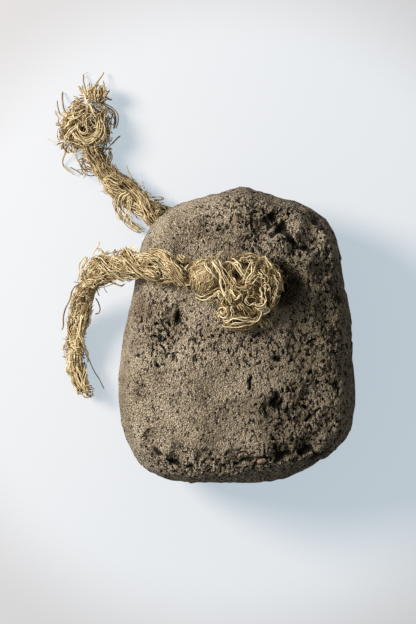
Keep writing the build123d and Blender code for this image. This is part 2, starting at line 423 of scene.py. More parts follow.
@dataclass
class NodeMaker:
    """Short way to add and join shader nodes in one material."""

    material: Material

    @classmethod
    def new(cls, name: str) -> "NodeMaker":
        """Maker for a new material with an empty tree."""
        material = bpy.data.materials.new(name)
        material.use_nodes = True
        material.node_tree.nodes.clear()
        return cls(material)

    def node(self, kind: str, inputs: dict | None = None, **settings: object) -> bpy.types.Node:
        """Add a node.

        Args:
            kind: the node's type name without its ShaderNode start.
            inputs: values or output sockets by input name or number.
            settings: the node's own properties.

        Returns:
            The node.
        """
        made = self.material.node_tree.nodes.new("ShaderNode" + kind)
        for key, value in settings.items():
            setattr(made, key, value)
        for key, value in (inputs or {}).items():
            if isinstance(value, Socket):
                self.material.node_tree.links.new(value, made.inputs[key])
            else:
                made.inputs[key].default_value = value
        return made

    def math(self, operation: str, a: object, b: object = 0.0, clamp: bool = False) -> Socket:
        """Result of a Math node on two values or sockets."""
        return self.node("Math", {0: a, 1: b}, operation=operation, use_clamp=clamp).outputs[0]

    def weighted(self, *terms: tuple[Socket, float]) -> Socket:
        """Sum of sockets, each times its weight."""
        parts = [socket if weight == 1.0 else self.math("MULTIPLY", socket, weight)
                 for socket, weight in terms]
        return functools.reduce(lambda total, part: self.math("ADD", total, part), parts)

    def place(self) -> Socket:
        """Object coordinates."""
        return self.node("TexCoord").outputs["Object"]

    def attribute(self, name: str) -> Socket:
        """Value of a vertex attribute."""
        return self.node("Attribute", attribute_name=name).outputs["Fac"]

    def noise(self, place: Socket, scale: float, detail: float, **more: float) -> Socket:
        """Value of a noise texture."""
        made = self.node("TexNoise", {"Vector": place, "Scale": scale, "Detail": detail, **more})
        return made.outputs["Fac"]

    def cells(self, place: Socket, scale: float) -> bpy.types.Node:
        """Voronoi texture, with its distances and its random colours."""
        return self.node("TexVoronoi", {"Vector": place, "Scale": scale, "Randomness": 1.0})

    def ramp(self, factor: Socket, stops: list[tuple[float, tuple]]) -> Socket:
        """Colour ramp over a factor.

        Args:
            factor: what runs along the ramp.
            stops: place and linear colour of each stop.

        Returns:
            The ramp's colour socket.
        """
        made = self.node("ValToRGB", {"Fac": factor})
        elements = made.color_ramp.elements
        while len(elements) < len(stops):
            elements.new(0.5)
        for element, (place, colour) in zip(elements, stops):
            element.position = place
            element.color = (*colour, 1.0)
        return made.outputs["Color"]

    def fade(self, factor: Socket, start: float, end: float, falling: bool = False) -> Socket:
        """Black to white between two places of a factor, or white to black."""
        ends = [(0.0, 0.0, 0.0), (1.0, 1.0, 1.0)]
        return self.ramp(factor, list(zip((start, end), ends[::-1] if falling else ends)))

    def mix(self, factor: object, a: object, b: object) -> Socket:
        """Colour mixed from two colours by a factor."""
        return self.node("MixRGB", {"Fac": factor, "Color1": a, "Color2": b}).outputs[0]

    def finish(self, shader: Socket) -> Material:
        """Join the shader to the output and return the material."""
        self.node("OutputMaterial", {"Surface": shader})
        return self.material

    def finish_dull(self, colour: Socket, height: Socket, distance: float,
                    roughness: float, specular: float = 0.5, strength: float = 1.0) -> Material:
        """Material of a dull surface with a fine relief.

        Args:
            colour: its colour.
            height: its relief.
            distance: height of the relief in metres where the height is 1.
            roughness: how rough it is.
            specular: strength of its sheen.
            strength: strength of the relief.

        Returns:
            The material.
        """
        bump = self.node("Bump", {"Height": height, "Strength": strength, "Distance": distance})
        shader = self.node("BsdfPrincipled", {
            "Base Color": colour, "Roughness": roughness, "Normal": bump.outputs["Normal"],
            "Specular IOR Level": specular})
        return self.finish(shader.outputs[0])


def srgb(red: int, green: int, blue: int) -> Triple:
    """Linear colour of a display colour given in 0 to 255."""
    shares = np.array([red, green, blue]) / 255.0
    linear = np.where(shares <= 0.04045, shares / 12.92, ((shares + 0.055) / 1.055) ** 2.4)
    return tuple(float(v) for v in linear)


@dataclass(frozen=True)
class FibreFinish:
    """Dry straw-coloured plant fibre, each fibre with its own tint; the darkest tints, on the fibres deep in
    cores and hearts, are painted shade.
    """

    # Darkest fibre colour: a tone of some loose fibres, and the painted shade of the cores and hearts
    dark: Triple = srgb(70, 50, 26)
    middle: Triple = srgb(174, 146, 98)
    pale: Triple = srgb(236, 216, 172)

    def material(self) -> Material:
        """Fibre material: the fibre's tint, blotched along its length, picks the colour."""
        maker = NodeMaker.new("plant_fibre")
        place = maker.place()
        blotch = maker.math("SUBTRACT", maker.noise(place, 320.0, 3.0), 0.5)
        shade = maker.math("ADD", maker.attribute("tint"), blotch, True)
        colour = maker.ramp(shade, [(0.0, self.dark), (0.5, self.middle), (1.0, self.pale)])
        return maker.finish_dull(colour, maker.noise(place, 2600.0, 2.0), 0.0001, 0.7, 0.25, 0.4)


@dataclass(frozen=True)
class ClayFinish:
    """Dry unfired mud: grey-brown, sandy on raised grains, with painted shade near black in its voids, slits
    and creases, stained in places.
    """

    # Near-black painted shade for the voids, slits, cracks, creases and the hole's wall
    void_shade: Triple = srgb(24, 20, 15)
    deep: Triple = srgb(98, 83, 64)
    body: Triple = srgb(180, 159, 130)
    dusty: Triple = srgb(250, 227, 194)
    grain: Triple = srgb(242, 222, 184)
    # Dark olive for the right side: partly painted shade, partly the clay's own tone
    shady: Triple = srgb(113, 100, 78)
    stained: Triple = srgb(166, 122, 92)

    def base(self, maker: NodeMaker, shade: Socket) -> Socket:
        """Colour of the skin: three tones by its shade, pale grit, a darker right side and stains; the right
        side is partly painted shade, partly darker clay.
        """
        grit = maker.cells(maker.place(), 780.0)
        picked = maker.fade(grit.outputs["Color"], 0.66, 0.70)
        near = maker.fade(grit.outputs["Distance"], 0.22, 0.36, falling=True)
        tones = maker.ramp(shade, [(0.41, self.deep), (0.52, self.body), (0.63, self.dusty)])
        sandy = maker.mix(maker.math("MULTIPLY", picked, near), tones, (*self.grain, 1.0))
        # The warm attribute mixes the right side towards shady: partly painted shade, partly darker clay
        warmer = maker.mix(maker.attribute("warm"), sandy, maker.mix(0.55, sandy, (*self.shady, 1.0)))
        return maker.mix(maker.attribute("stain"), warmer, (*self.stained, 1.0))

    def material(self) -> Material:
        """Clay material on Object coordinates and the vertex attributes of the worked surface."""
        maker = NodeMaker.new("dry_mud")
        place = maker.place()
        clouds = maker.noise(place, 60.0, 3.0, Roughness=0.6)
        speck = maker.noise(place, 1500.0, 2.0, Roughness=0.8)
        fine = maker.noise(place, 2500.0, 1.0, Distortion=0.4)
        crumbs = maker.cells(place, 1300.0).outputs["Distance"]
        edge = maker.math("ADD", maker.math("MULTIPLY", maker.attribute("rough"), 0.075), 0.325)
        marks = []
        for turn, scale in (((0.3, 0.2, 0.3), 820.0), ((0.1, 0.4, -0.9), 960.0)):
            drawn = maker.node("Mapping", {"Vector": place, "Rotation": turn, "Scale": (1.0, 0.5, 1.0)})
            straw = maker.noise(drawn.outputs[0], scale, 2.0)
            marks.append(maker.math("MULTIPLY", maker.math("SUBTRACT", edge, straw), 60.0, True))
        slits = maker.math("MAXIMUM", *marks)
        # Painted shade: the pit attribute and the slits take the near-black void colour
        dark = maker.math("MAXIMUM", maker.attribute("pit"), maker.math("MULTIPLY", slits, 0.95))
        # Painted shade in the creases between crumbs, where the relief below is lowest
        creases = maker.math("MULTIPLY", maker.fade(crumbs, 0.50, 0.74), 0.3)
        base = self.base(maker, maker.weighted((clouds, 0.35), (speck, 0.25), (fine, 0.5)))
        colour = maker.mix(maker.math("MAXIMUM", dark, creases), base, (*self.void_shade, 1.0))
        height = maker.weighted((speck, 1.0), (crumbs, -0.9), (fine, 1.0), (slits, -1.8))
        return maker.finish_dull(colour, height, 0.0018, 0.95, 0.15)


@dataclass(frozen=True)
class StoneFinish:
    """Dull grit stones, reddish and pale."""

    red: Triple = srgb(132, 94, 68)
    pale: Triple = srgb(158, 132, 100)
    dusty: Triple = srgb(120, 104, 84)

    def material(self) -> Material:
        """Stone material: blotches of two dull colours."""
        maker = NodeMaker.new("grit_stone")
        place = maker.place()
        dust = maker.noise(place, 900.0, 3.0)
        stone = maker.ramp(maker.noise(place, 420.0, 3.0), [(0.35, self.red), (0.65, self.pale)])
        colour = maker.mix(maker.fade(dust, 0.42, 0.52), stone, (*self.dusty, 1.0))
        return maker.finish_dull(colour, dust, 0.0016, 0.8)


@dataclass
class Patch:
    """Soft round region of the front face, by its place in the photograph."""

    pixel_x: float
    pixel_y: float
    radius_x: float
    radius_y: float
    amount: float

    def weight(self, points: Array) -> Array:
        """Amount times exp(-d^2), where d is the distance over the region's radii.

        Args:
            points: places in millimetres, shape (n, 3).

        Returns:
            Weight of each point, on the front half alone.
        """
        x, y = seen_at(self.pixel_x, self.pixel_y, FACE_HEIGHT)
        across = (points[:, 0] - x) / (self.radius_x * PHOTO_MM_PER_PIXEL)
        up = (points[:, 1] - y) / (self.radius_y * PHOTO_MM_PER_PIXEL)
        return self.amount * np.exp(-(across ** 2 + up ** 2)) * smooth_step(points[:, 2], 18.0, 34.0)


def patches(*rows: tuple[float, float, float, float, float]) -> tuple[Patch, ...]:
    """Patches from rows of their five numbers."""
    return tuple(Patch(*row) for row in rows)


def weights(regions: tuple[Patch, ...], points: Array) -> Array:
    """Sum of the weights of many patches."""
    return sum(patch.weight(points) for patch in regions)


@dataclass
class Groove:
    """Crack, crease or step in the front face, by points of the photograph."""

    pixels: tuple[tuple[float, float], ...]
    width: float = 1.0
    depth: float = 1.2
    step: float = 0.0

    def cut(self, points: Array) -> Array:
        """Depth of the groove at each point: depth * exp(-(d / width)^2), less the step on its left.

        Args:
            points: places in millimetres, shape (n, 3).

        Returns:
            Depth of each point, on the front half alone.
        """
        line = np.array([seen_at(x, y, GROOVE_HEIGHT) for x, y in self.pixels])
        wobble = 0.9 * np.stack([value_noise(points, 3.1, 77), value_noise(points, 3.3, 78)], axis=1)
        place = points[:, :2] + wobble
        nearest = np.full(len(points), 1e6)
        side = np.zeros(len(points))
        share_along = np.zeros(len(points))
        for k, (a, b) in enumerate(zip(line[:-1], line[1:])):
            share = np.clip((place - a) @ (b - a) / np.dot(b - a, b - a), 0.0, 1.0)
            offset = place - a - share[:, None] * (b - a)
            distance = np.hypot(offset[:, 0], offset[:, 1])
            closer = distance < nearest
            nearest = np.where(closer, distance, nearest)
            cross = (b - a)[0] * offset[:, 1] - (b - a)[1] * offset[:, 0]
            side = np.where(closer, np.sign(cross), side)
            share_along = np.where(closer, (k + share) / (len(line) - 1), share_along)
        fade = np.sin(math.pi * np.clip(share_along, 0.04, 0.96)) ** 0.5
        front = smooth_step(points[:, 2], 20.0, 34.0) * fade
        ledge = self.step * side * np.exp(-(nearest / 9.0) ** 2) * smooth_step(nearest, 0.0, 1.0)
        return front * (self.depth * np.exp(-(nearest / self.width) ** 2) - ledge)


def grooves(*rows: tuple) -> tuple[Groove, ...]:
    """Grooves from rows of their pixels, width, depth and step."""
    return tuple(Groove(*row) for row in rows)


@dataclass
class ClayBody:
    """The mud weight: the frame's solid, remeshed fine and worked into a chaff-tempered surface."""

    voxel: float = 0.40
    most_triangles: int = 196000
    front_from: float = 44.0
    deepest: float = -3.6
    highest: float = 1.9
    rough: tuple[Patch, ...] = patches(
        (290, 235, 60, 48, 1.0), (330, 330, 34, 110, 0.75), (255, 345, 70, 28, 0.75),
        (240, 474, 120, 20, 1.3), (165, 330, 30, 30, 0.85), (290, 415, 45, 35, 0.75),
        (262, 205, 44, 24, 0.9), (325, 450, 45, 26, 1.0), (215, 240, 26, 16, 0.4),
    )
    # Hollows dented into the front; their depth also paints them dark through the pit attribute, as painted
    # shade
    shaded_hollows: tuple[Patch, ...] = patches(
        (178, 316, 2.2, 6, 1.9), (148, 241, 1.6, 4, 2.3), (200.5, 207.5, 1.3, 1.6, 1.6),
        (137, 355, 2, 3.2, 1.8), (160, 338, 2.2, 3.2, 1.5), (160, 366, 1.6, 3.6, 1.5),
        (170, 324, 1.6, 3.6, 1.4), (269, 223, 2.6, 6, 1.6), (303, 248, 5.2, 2.4, 1.6),
        (301, 305, 4.3, 2.4, 1.0), (294, 281, 3.4, 4.6, 1.3), (256, 335, 4.9, 3, 1.0),
        (277, 400, 3.3, 7.2, 2.1), (266, 412, 2, 6.4, 1.8), (287, 410, 2, 6.4, 1.7),
        (277, 359, 2.8, 4.8, 1.2), (317, 218, 2.2, 6.4, 1.7), (328, 246, 2.6, 4.8, 1.6),
        (175, 461, 3.6, 2.6, 1.5), (188, 468, 3.6, 2.2, 1.4), (150, 455, 1.8, 3, 1.2),
        (318, 462, 5.4, 2.6, 1.4), (342, 300, 2.6, 5.6, 1.4), (337, 385, 2.6, 6.4, 1.4),
    )
    lumps_at: tuple[Patch, ...] = patches(
        (294, 218, 8, 7, 1.5), (282, 238, 7, 6, 1.2), (325, 232, 8, 8, 1.2),
        (312, 262, 12, 6, 1.3), (248, 214, 7, 10, 0.8), (300, 435, 16, 7, 1.0),
        (247, 395, 8, 8, 0.6), (262, 444, 26, 6, 0.9), (215, 300, 26, 30, 0.5),
    )
    cracks: tuple[Groove, ...] = grooves(
        (((229, 189), (226.6, 204), (232, 222), (233, 240), (231, 256)), 1.0, 1.0, 0.7),
        (((256, 203), (266, 211), (283, 221), (290, 237), (301, 245), (313, 250)), 1.3, 2.2, 0.6),
        (((307, 203), (318, 214), (322, 226), (331, 240)), 1.1, 1.6),
        (((283, 221), (275, 232), (262, 240)), 1.0, 1.5),
        (((191, 385), (203, 381), (214, 377), (235, 372)), 0.7, 0.6, 0.3),
        (((225, 372), (233, 389), (240, 402)), 0.6, 0.5),
        (((259, 434), (271, 430), (284, 425), (300, 427), (322, 418)), 0.8, 0.9, 0.4),
        (((210, 466), (238, 462), (271, 457), (295, 452), (320, 446)), 1.2, 1.6, 0.6),
        (((268, 396), (272, 410), (270, 424)), 0.9, 1.6),
        (((281, 395), (279, 410), (284, 424)), 0.9, 1.5),
        (((144, 442), (165, 458), (190, 466)), 1.0, 1.2, 0.5),
        (((262, 330), (278, 345), (284, 362)), 0.8, 1.1),
        (((333, 262), (338, 290), (336, 322)), 0.9, 1.1, 0.4),
        (((300, 440), (318, 455), (340, 446)), 1.0, 1.4, 0.5),
    )
    stains: tuple[Patch, ...] = patches(
        (143, 310, 12, 10, 0.5), (259, 461, 9, 4, 0.8), (119, 384, 4, 9, 0.5),
        (228, 330, 7, 4, 0.25), (251, 329, 8, 4, 0.35), (200, 233, 14, 9, 0.2),
    )

    def remeshed(self) -> Piece:
        """Even fine mesh of the frame's clay solid, its edges eased.

        Returns:
            A new object with the mesh.
        """
        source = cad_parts["clay_body"].data.copy()
        work = bpy.data.objects.new("clay_work", source)
        bpy.context.scene.collection.objects.link(work)
        weld = work.modifiers.new("weld", "WELD")
        weld.merge_threshold = 1e-6
        remesh = work.modifiers.new("remesh", "REMESH")
        remesh.mode = "VOXEL"
        remesh.voxel_size = self.voxel * MM
        ease = work.modifiers.new("ease", "SMOOTH")
        ease.factor = 0.5
        ease.iterations = 6
        made = bpy.data.meshes.new_from_object(work.evaluated_get(bpy.context.evaluated_depsgraph_get()))
        bpy.data.objects.remove(work)
        bpy.data.meshes.remove(source)
        made.name = "mud_weight"
        piece = bpy.data.objects.new("mud_weight", made)
        bpy.context.scene.collection.objects.link(piece)
        return piece

    def roughness_at(self, points: Array) -> Array:
        """How rough the skin is, from 0 to about 1: a low base and the rough regions.

        The back and the sides have no photograph, so a slow noise roughens them in places.
        """
        front = smooth_step(points[:, 2], 20.0, 40.0)
        total = 0.30 + (1.0 - front) * (0.48 + 0.32 * value_noise(points, 24.0, 5))
        total = total + 0.5 * smooth_step(-points[:, 1], 47.0, 57.0)
        for patch in self.rough:
            total = total + patch.weight(points)
        return np.clip(total + 0.22 * value_noise(points, 9.0, 6), 0.12, 1.25)

    @staticmethod
    def chaff(points: Array, cell: float, width: float, half_length: float, share: Array, seed: int) -> Array:
        """Depth of straw-shaped voids: 1 - d / width, where d is the distance to a short line.

        Each cell of a lattice holds one line, at a hashed place and lean, and only a share of the
        cells has a void.

        Args:
            points: surface points, shape (n, 3).
            cell: lattice spacing.
            width: half width of a void.
            half_length: half length of a void.
            share: for each point, the share of the cells with a void.
            seed: picks another pattern.

        Returns:
            Depth from 0 to 1 for each point.
        """
        depth = np.zeros(len(points))
        for cells in cells_round(points, cell):
            lean = unit((hashed_places(cells, seed + 10) - 0.5) * np.array([1.0, 1.35, 0.8]))
            relative = points - (cells + 0.1 + 0.8 * hashed_places(cells, seed)) * cell
            size = 0.45 + 0.75 * hashed(cells, seed + 20)
            along = np.clip(np.sum(relative * lean, axis=1), -half_length * size, half_length * size)
            distance = np.linalg.norm(relative - along[:, None] * lean, axis=1)
            pit = smooth_step(1.0 - distance / (width * size), 0.0, 0.8)
            depth = np.maximum(depth, np.where(hashed(cells, seed + 30) < share, pit * size, 0.0))
        return depth

    @staticmethod
    def crumbs(points: Array, cell: float, seed: int) -> Array:
        """Rounded crumbs with creases between them: 1 - 2.4 d^2, d the distance to the nearest seed.

        Args:
            points: surface points, shape (n, 3).
            cell: spacing of the seeds, one in each cell of a lattice.
            seed: picks another pattern.

        Returns:
            Height from about -1 to 1 for each point.
        """
        nearest = np.full(len(points), 4.0)
        for cells in cells_round(points, cell):
            gap = points / cell - (cells + hashed_places(cells, seed))
            nearest = np.minimum(nearest, np.sum(gap * gap, axis=1))
        return np.clip(1.0 - 2.4 * nearest, -1.0, 1.0)

    def relief(self, points: Array, rough: Array, calm: Array, facing: Array) -> tuple[Array, Array, Array]:
        """Relief of the skin: lumps + roughness * (crumbs + grain) - voids - cracks.

        Args:
            points: places in millimetres, shape (n, 3).
            rough: how rough the skin is at each.
            calm: share from 0, at the hole, to 1, away from it.
            facing: share from 0, on the sides and the back, to 1, on the front.

        Returns:
            Height, depth of the voids and cracks alone, and height of the grain alone.
        """
        bent = shifted(points, 0.8, 2.6, 90)
        lumps = 0.5 * layered_noise(points, 24.0, 11, 2) + 0.5 * rough * layered_noise(points, 8.0, 21, 2)
        lumps = lumps + facing * weights(self.lumps_at, points)
        grain = (0.04 + 0.28 * rough) * self.crumbs(bent, 2.2, 300) + (0.05 + 0.18 * rough) * (
            layered_noise(points, 1.5, 31, 2)) + 0.11 * value_noise(points, 0.9, 41)
        voids = 1.0 * self.chaff(bent, 1.8, 0.5, 1.2, 0.10 + 0.40 * rough, 100)
        voids = np.maximum(voids, 1.5 * self.chaff(bent, 4.0, 0.8, 2.0, 0.05 + 0.34 * rough, 200))
        hollows = facing * weights(self.shaded_hollows, shifted(points, 1.3, 2.2, 95))
        broken = np.clip(0.62 + 0.75 * value_noise(points, 3.0, 71), 0.1, 1.1)
        cracks = facing * broken * sum(np.maximum(groove.cut(bent), -0.7) for groove in self.cracks)
        depth = (voids * (0.3 + 0.8 * rough) + hollows) * (0.1 + 0.9 * calm)
        height = (lumps + grain) * (0.25 + 0.75 * calm) - depth - cracks * calm - 0.15 * rough
        return height, depth + np.maximum(cracks, 0.0), grain

    @staticmethod
    def widen_mouth(moved: Array, points: Array, from_hole: Array) -> None:
        """Flare the hole's mouth on its right side and narrow the hole just below it.

        Args:
            moved: places to change, shape (n, 3).
            points: the same places before the relief.
            from_hole: distance of each from the hole's middle.
        """
        right = smooth_step(points[:, 0] - HOLE_X, -3.0, 3.0)
        flare = (1.0 - smooth_step(from_hole, 6.0, 12.5)) * right * smooth_step(points[:, 2], 46.0, 55.0)
        pinch = smooth_step(points[:, 2], 34.0, 44.0) * (1.0 - smooth_step(points[:, 2], 48.0, 56.5))
        pinch = pinch * right * (1.0 - smooth_step(from_hole, 7.4, 9.5)) * 3.0 / np.maximum(from_hole, 1.0)
        moved[:, 0] -= pinch * (points[:, 0] - HOLE_X)
        moved[:, 1] -= pinch * (points[:, 1] - HOLE_Y)
        moved[:, 2] -= 4.0 * flare

    def work_surface(self, piece: Piece) -> None:
        """Move every vertex along its normal by the relief, and note what the colour reads."""
        mesh = piece.data
        points = vectors_of(mesh.vertices, "co").astype(float) / MM
        normals = vectors_of(mesh.vertex_normals, "vector").astype(float)
        rough = self.roughness_at(points)
        from_hole = np.hypot(points[:, 0] - HOLE_X, points[:, 1] - HOLE_Y)
        facing = smooth_step(points[:, 2], 24.0, 38.0)
        height, depth, grain = self.relief(points, rough, smooth_step(from_hole, 8.0, 14.0), facing)
        moved = points + normals * np.clip(height, self.deepest, self.highest)[:, None]
        self.widen_mouth(moved, points, from_hole)
        moved[:, 2] = np.maximum(moved[:, 2], 0.0)
        mesh.vertices.foreach_set("co", (moved * MM).astype(np.float32).ravel())
        mesh.update()
        # Painted shade for the pit attribute: darker where the relief is deep or low between grains, and half
        # dark in and round the hole above mid-height
        in_hole_shade = (1.0 - smooth_step(from_hole, 8.0, 11.5)) * smooth_step(points[:, 2], 30.0, 40.0)
        low = np.clip(depth / 1.3, 0.0, 1.0) - 0.35 * np.clip(grain, -0.5, 0.3)
        low = np.maximum(low, 0.5 * in_hole_shade)
        blotched = 0.6 + 0.5 * value_noise(points, 1.6, 51)
        # Darker to the right and less so at the top: partly painted shade of the side turned from the lamp,
        # partly a darker olive clay
        warm = smooth_step(points[:, 0] + 3.0 * value_noise(points, 15.0, 61), -30.0, 32.0)
        give_attribute(piece, "pit", smooth_step(low, 0.2, 0.66) * 0.95)
        give_attribute(piece, "stain", np.clip(facing * weights(self.stains, points) * blotched, 0.0, 0.8))
        give_attribute(piece, "rough", rough)
        give_attribute(piece, "warm", warm * (1.0 - 0.8 * smooth_step(points[:, 1], 24.0, 46.0)))

    def thin(self, piece: Piece) -> Piece:
        """Collapse faces behind the front, and then the least needed ones, down to the most allowed."""
        faces = 2 * len(piece.data.polygons)
        if faces <= self.most_triangles:
            return piece
        behind = np.flatnonzero(vectors_of(piece.data.vertices, "co")[:, 2] < self.front_from * MM)
        piece.vertex_groups.new(name="behind").add(behind.tolist(), 1.0, "REPLACE")
        thinner = piece.modifiers.new("thin", "DECIMATE")
        thinner.ratio = self.most_triangles / faces
        thinner.vertex_group = "behind"
        thinner.vertex_group_factor = 1.0
        view = bpy.context.evaluated_depsgraph_get()
        mesh = bpy.data.meshes.new_from_object(piece.evaluated_get(view), preserve_all_data_layers=True,
                                               depsgraph=view)
        piece.modifiers.clear()
        piece.vertex_groups.clear()
        piece.data = mesh
        return piece

    def build(self) -> Piece:
        """Make the weight, dress it and let it stand for the frame's clay node."""
        piece = self.remeshed()
        self.work_surface(piece)
        piece = self.thin(piece)
        piece.data.polygons.foreach_set("use_smooth", np.ones(len(piece.data.polygons), bool))
        piece.data.materials.clear()
        piece.data.materials.append(ClayFinish().material())
        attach(piece, BODY)
        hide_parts("clay_body")
        log.info("mud_weight: %d faces", len(piece.data.polygons))
        return piece


@dataclass
class RopeLay:
    """How a stretch of two-ply rope lies: its twist and how loose it is along its length.

    Each table holds pairs of a share of the length and the value there: turns of the plies, and
    swelling of their radius and of how far apart they stand.
    """

    turns: tuple[tuple[float, float], ...]
    swell: tuple[tuple[float, float], ...]
    ply_offset: float = 2.3
    ply_radius: float = 2.5
    fibre_turns: float = -1.6
    wander: float = 0.55
    furthest: float = 7.5

    @staticmethod
    def along(table: tuple[tuple[float, float], ...], share: Array) -> Array:
        """Value of a table at each share of the length."""
        places, values = zip(*table)
        return np.interp(share, places, values)

    def fibres(self, spine: Array, starts: Array, spans: Array, ring: Array, angle: Array, ply: Array,
               steps: int, lift: Array, rng: Rng) -> Array:
        """Lines of many fibres in the plies.

        A fibre is at spine + offset * ply direction + ring * ply radius * its own direction, both
        turning along the rope, with a smooth wander and lifted ends.

        Args:
            spine: the rope's middle line, evenly spaced, shape (n, 3).
            starts: where along the length each fibre starts, as a share.
            spans: the share of the length that each one covers.
            ring: share of the ply's radius at which each one lies.
            angle: place of each one round its ply.
            ply: 0 or 1, the ply of each one.
            steps: points on each fibre.
            lift: how far each fibre's ends stand off, in millimetres.
            rng: source of the wander.

        Returns:
            Lines, shape (count, steps, 3).
        """
        _, side, other = (a[0] for a in carried_frames(spine[None]))
        t = np.linspace(0.0, 1.0, steps)[None, :]
        share = np.clip(starts[:, None] + spans[:, None] * t, 0.0, 1.0)
        place = share * (len(spine) - 1)
        middle, across, up = (
            np.stack([np.interp(place, np.arange(len(spine)), a[:, k]) for k in range(3)], axis=-1)
            for a in (spine, side, other))
        swell = self.along(self.swell, share)
        turn = FULL_TURN * self.along(self.turns, share) + math.pi * ply[:, None]
        own = turn + angle[:, None] + FULL_TURN * self.fibre_turns * share
        offset = self.ply_offset * swell
        ends = (1.0 - t) ** 5 + t ** 5
        reach = self.ply_radius * swell * ring[:, None] + lift[:, None] * ends
        stand = ((offset * np.cos(turn))[..., None] * across + (offset * np.sin(turn))[..., None] * up
                 + (reach * np.cos(own))[..., None] * across + (reach * np.sin(own))[..., None] * up
                 + self.wander * swell[..., None] * line_noise(len(starts), steps, max(3, steps // 4), rng))
        far = np.linalg.norm(stand, axis=-1, keepdims=True)
        return middle + stand * np.minimum(1.0, self.furthest / np.maximum(far, 1e-6))

    def scattered(self, spine: Array, starts: Array, spans: Array, ring: tuple[float, float], steps: int,
                  lift: Array, rng: Rng) -> Array:
        """Lines of fibres at random places round the plies, between two shares of their radius."""
        count = len(starts)
        return self.fibres(spine, starts, spans, rng.uniform(*ring, count), rng.uniform(0, FULL_TURN, count),
                           rng.integers(0, 2, count), steps, lift, rng)


def curls(base: Array, outward: Array, along: Array, size: tuple[float, float], turn: tuple[float, float],
          rng: Rng, steps: int = 11, stand: float = 0.45) -> Array:
    """Short curled fibres on a surface: arcs base + r (cos t u + sin t v), half sunk in it.

    Args:
        base: points on the surface, shape (n, 3).
        outward: the surface's directions there.
        along: a direction along the surface at each point.
        size: least and most radius of an arc.
        turn: least and most angle that an arc covers.
        rng: source of the random shapes.
        steps: points on each arc.
        stand: how far the arcs stand up, from 0, flat, to 1.

    Returns:
        Lines, shape (n, steps, 3).
    """
    count = len(base)
    swing = rng.uniform(0, FULL_TURN, count)[:, None]
    across = np.cross(outward, along)
    first = np.cos(swing) * along + np.sin(swing) * across
    upright = rng.uniform(0.0, stand, count)[:, None]
    second = unit((1.0 - upright) * np.cross(first, outward) + upright * outward)
    radius = rng.uniform(*size, count)[:, None, None]
    t = rng.uniform(0, FULL_TURN, count)[:, None] + np.linspace(0, 1, steps) * (
        rng.uniform(*turn, count)[:, None])
    ring = np.cos(t)[..., None] * first[:, None] + np.sin(t)[..., None] * second[:, None]
    squeeze = rng.uniform(0.6, 1.5, count)[:, None, None]
    return base[:, None] + ring * radius * squeeze + 0.22 * line_noise(count, steps, 4, rng)


def stubs(base: Array, outward: Array, along: Array, length: tuple[float, float],
          rng: Rng, steps: int = 7) -> Array:
    """Short broken fibre ends that leave a surface: base + length (t lean + t^2 bend).

    Args:
        base: points on the surface, shape (n, 3).
        outward: the surface's directions there.
        along: a direction along the surface at each point.
        length: least and most length.
        rng: source of the random shapes.
        steps: points on each end.

    Returns:
        Lines, shape (n, steps, 3).
    """
    count = len(base)
    across = np.cross(outward, along)
    lean = unit(outward * rng.uniform(0.2, 1.0, count)[:, None] + along * rng.uniform(-1, 1, count)[:, None]
                + across * rng.uniform(-0.8, 0.8, count)[:, None])
    bend = 0.5 * (along * rng.uniform(-1, 1, count)[:, None] + across * rng.uniform(-1, 1, count)[:, None])
    t = np.linspace(0.0, 1.0, steps)[None, :, None]
    reach = rng.uniform(*length, count)[:, None, None]
    return base[:, None] + reach * (t * lean[:, None] + t * t * bend[:, None])


@dataclass
class RopeSurface:
    """Round surface of a stretch of rope, as the loose fibres on it see it."""

    spine: Array
    radius: float = 5.0

    def top(self, x: Array, y: Array) -> Array:
        """Height of the rope's upper side over each place, and a falling slope beside it."""
        away = np.hypot(x[:, None] - self.spine[None, :, 0], y[:, None] - self.spine[None, :, 1])
        nearest = np.argmin(away, axis=1)
        gap = away[np.arange(len(x)), nearest]
        middle = self.spine[nearest, 2]
        over = np.sqrt(np.maximum(self.radius ** 2 - gap ** 2, 0.0))
        return np.where(gap < self.radius, middle + over, middle - 0.35 * (gap - self.radius))

    def sample(self, count: int, swell: Array, rng: Rng) -> tuple[Array, Array, Array]:
        """Random points on the surface.

        Args:
            count: how many.
            swell: share of the radius along the length, one value for each point of the spine.
            rng: source of the places.

        Returns:
            Points, directions out of the surface, and directions along the rope.
        """
        tangents, side, other = (a[0] for a in carried_frames(self.spine[None]))
        index = (rng.uniform(0.0, 1.0, count) * (len(self.spine) - 1)).astype(int)
        angle = rng.uniform(0, FULL_TURN, count)[:, None]
        outward = np.cos(angle) * side[index] + np.sin(angle) * other[index]
        return self.spine[index] + self.radius * swell[index, None] * outward, outward, tangents[index]


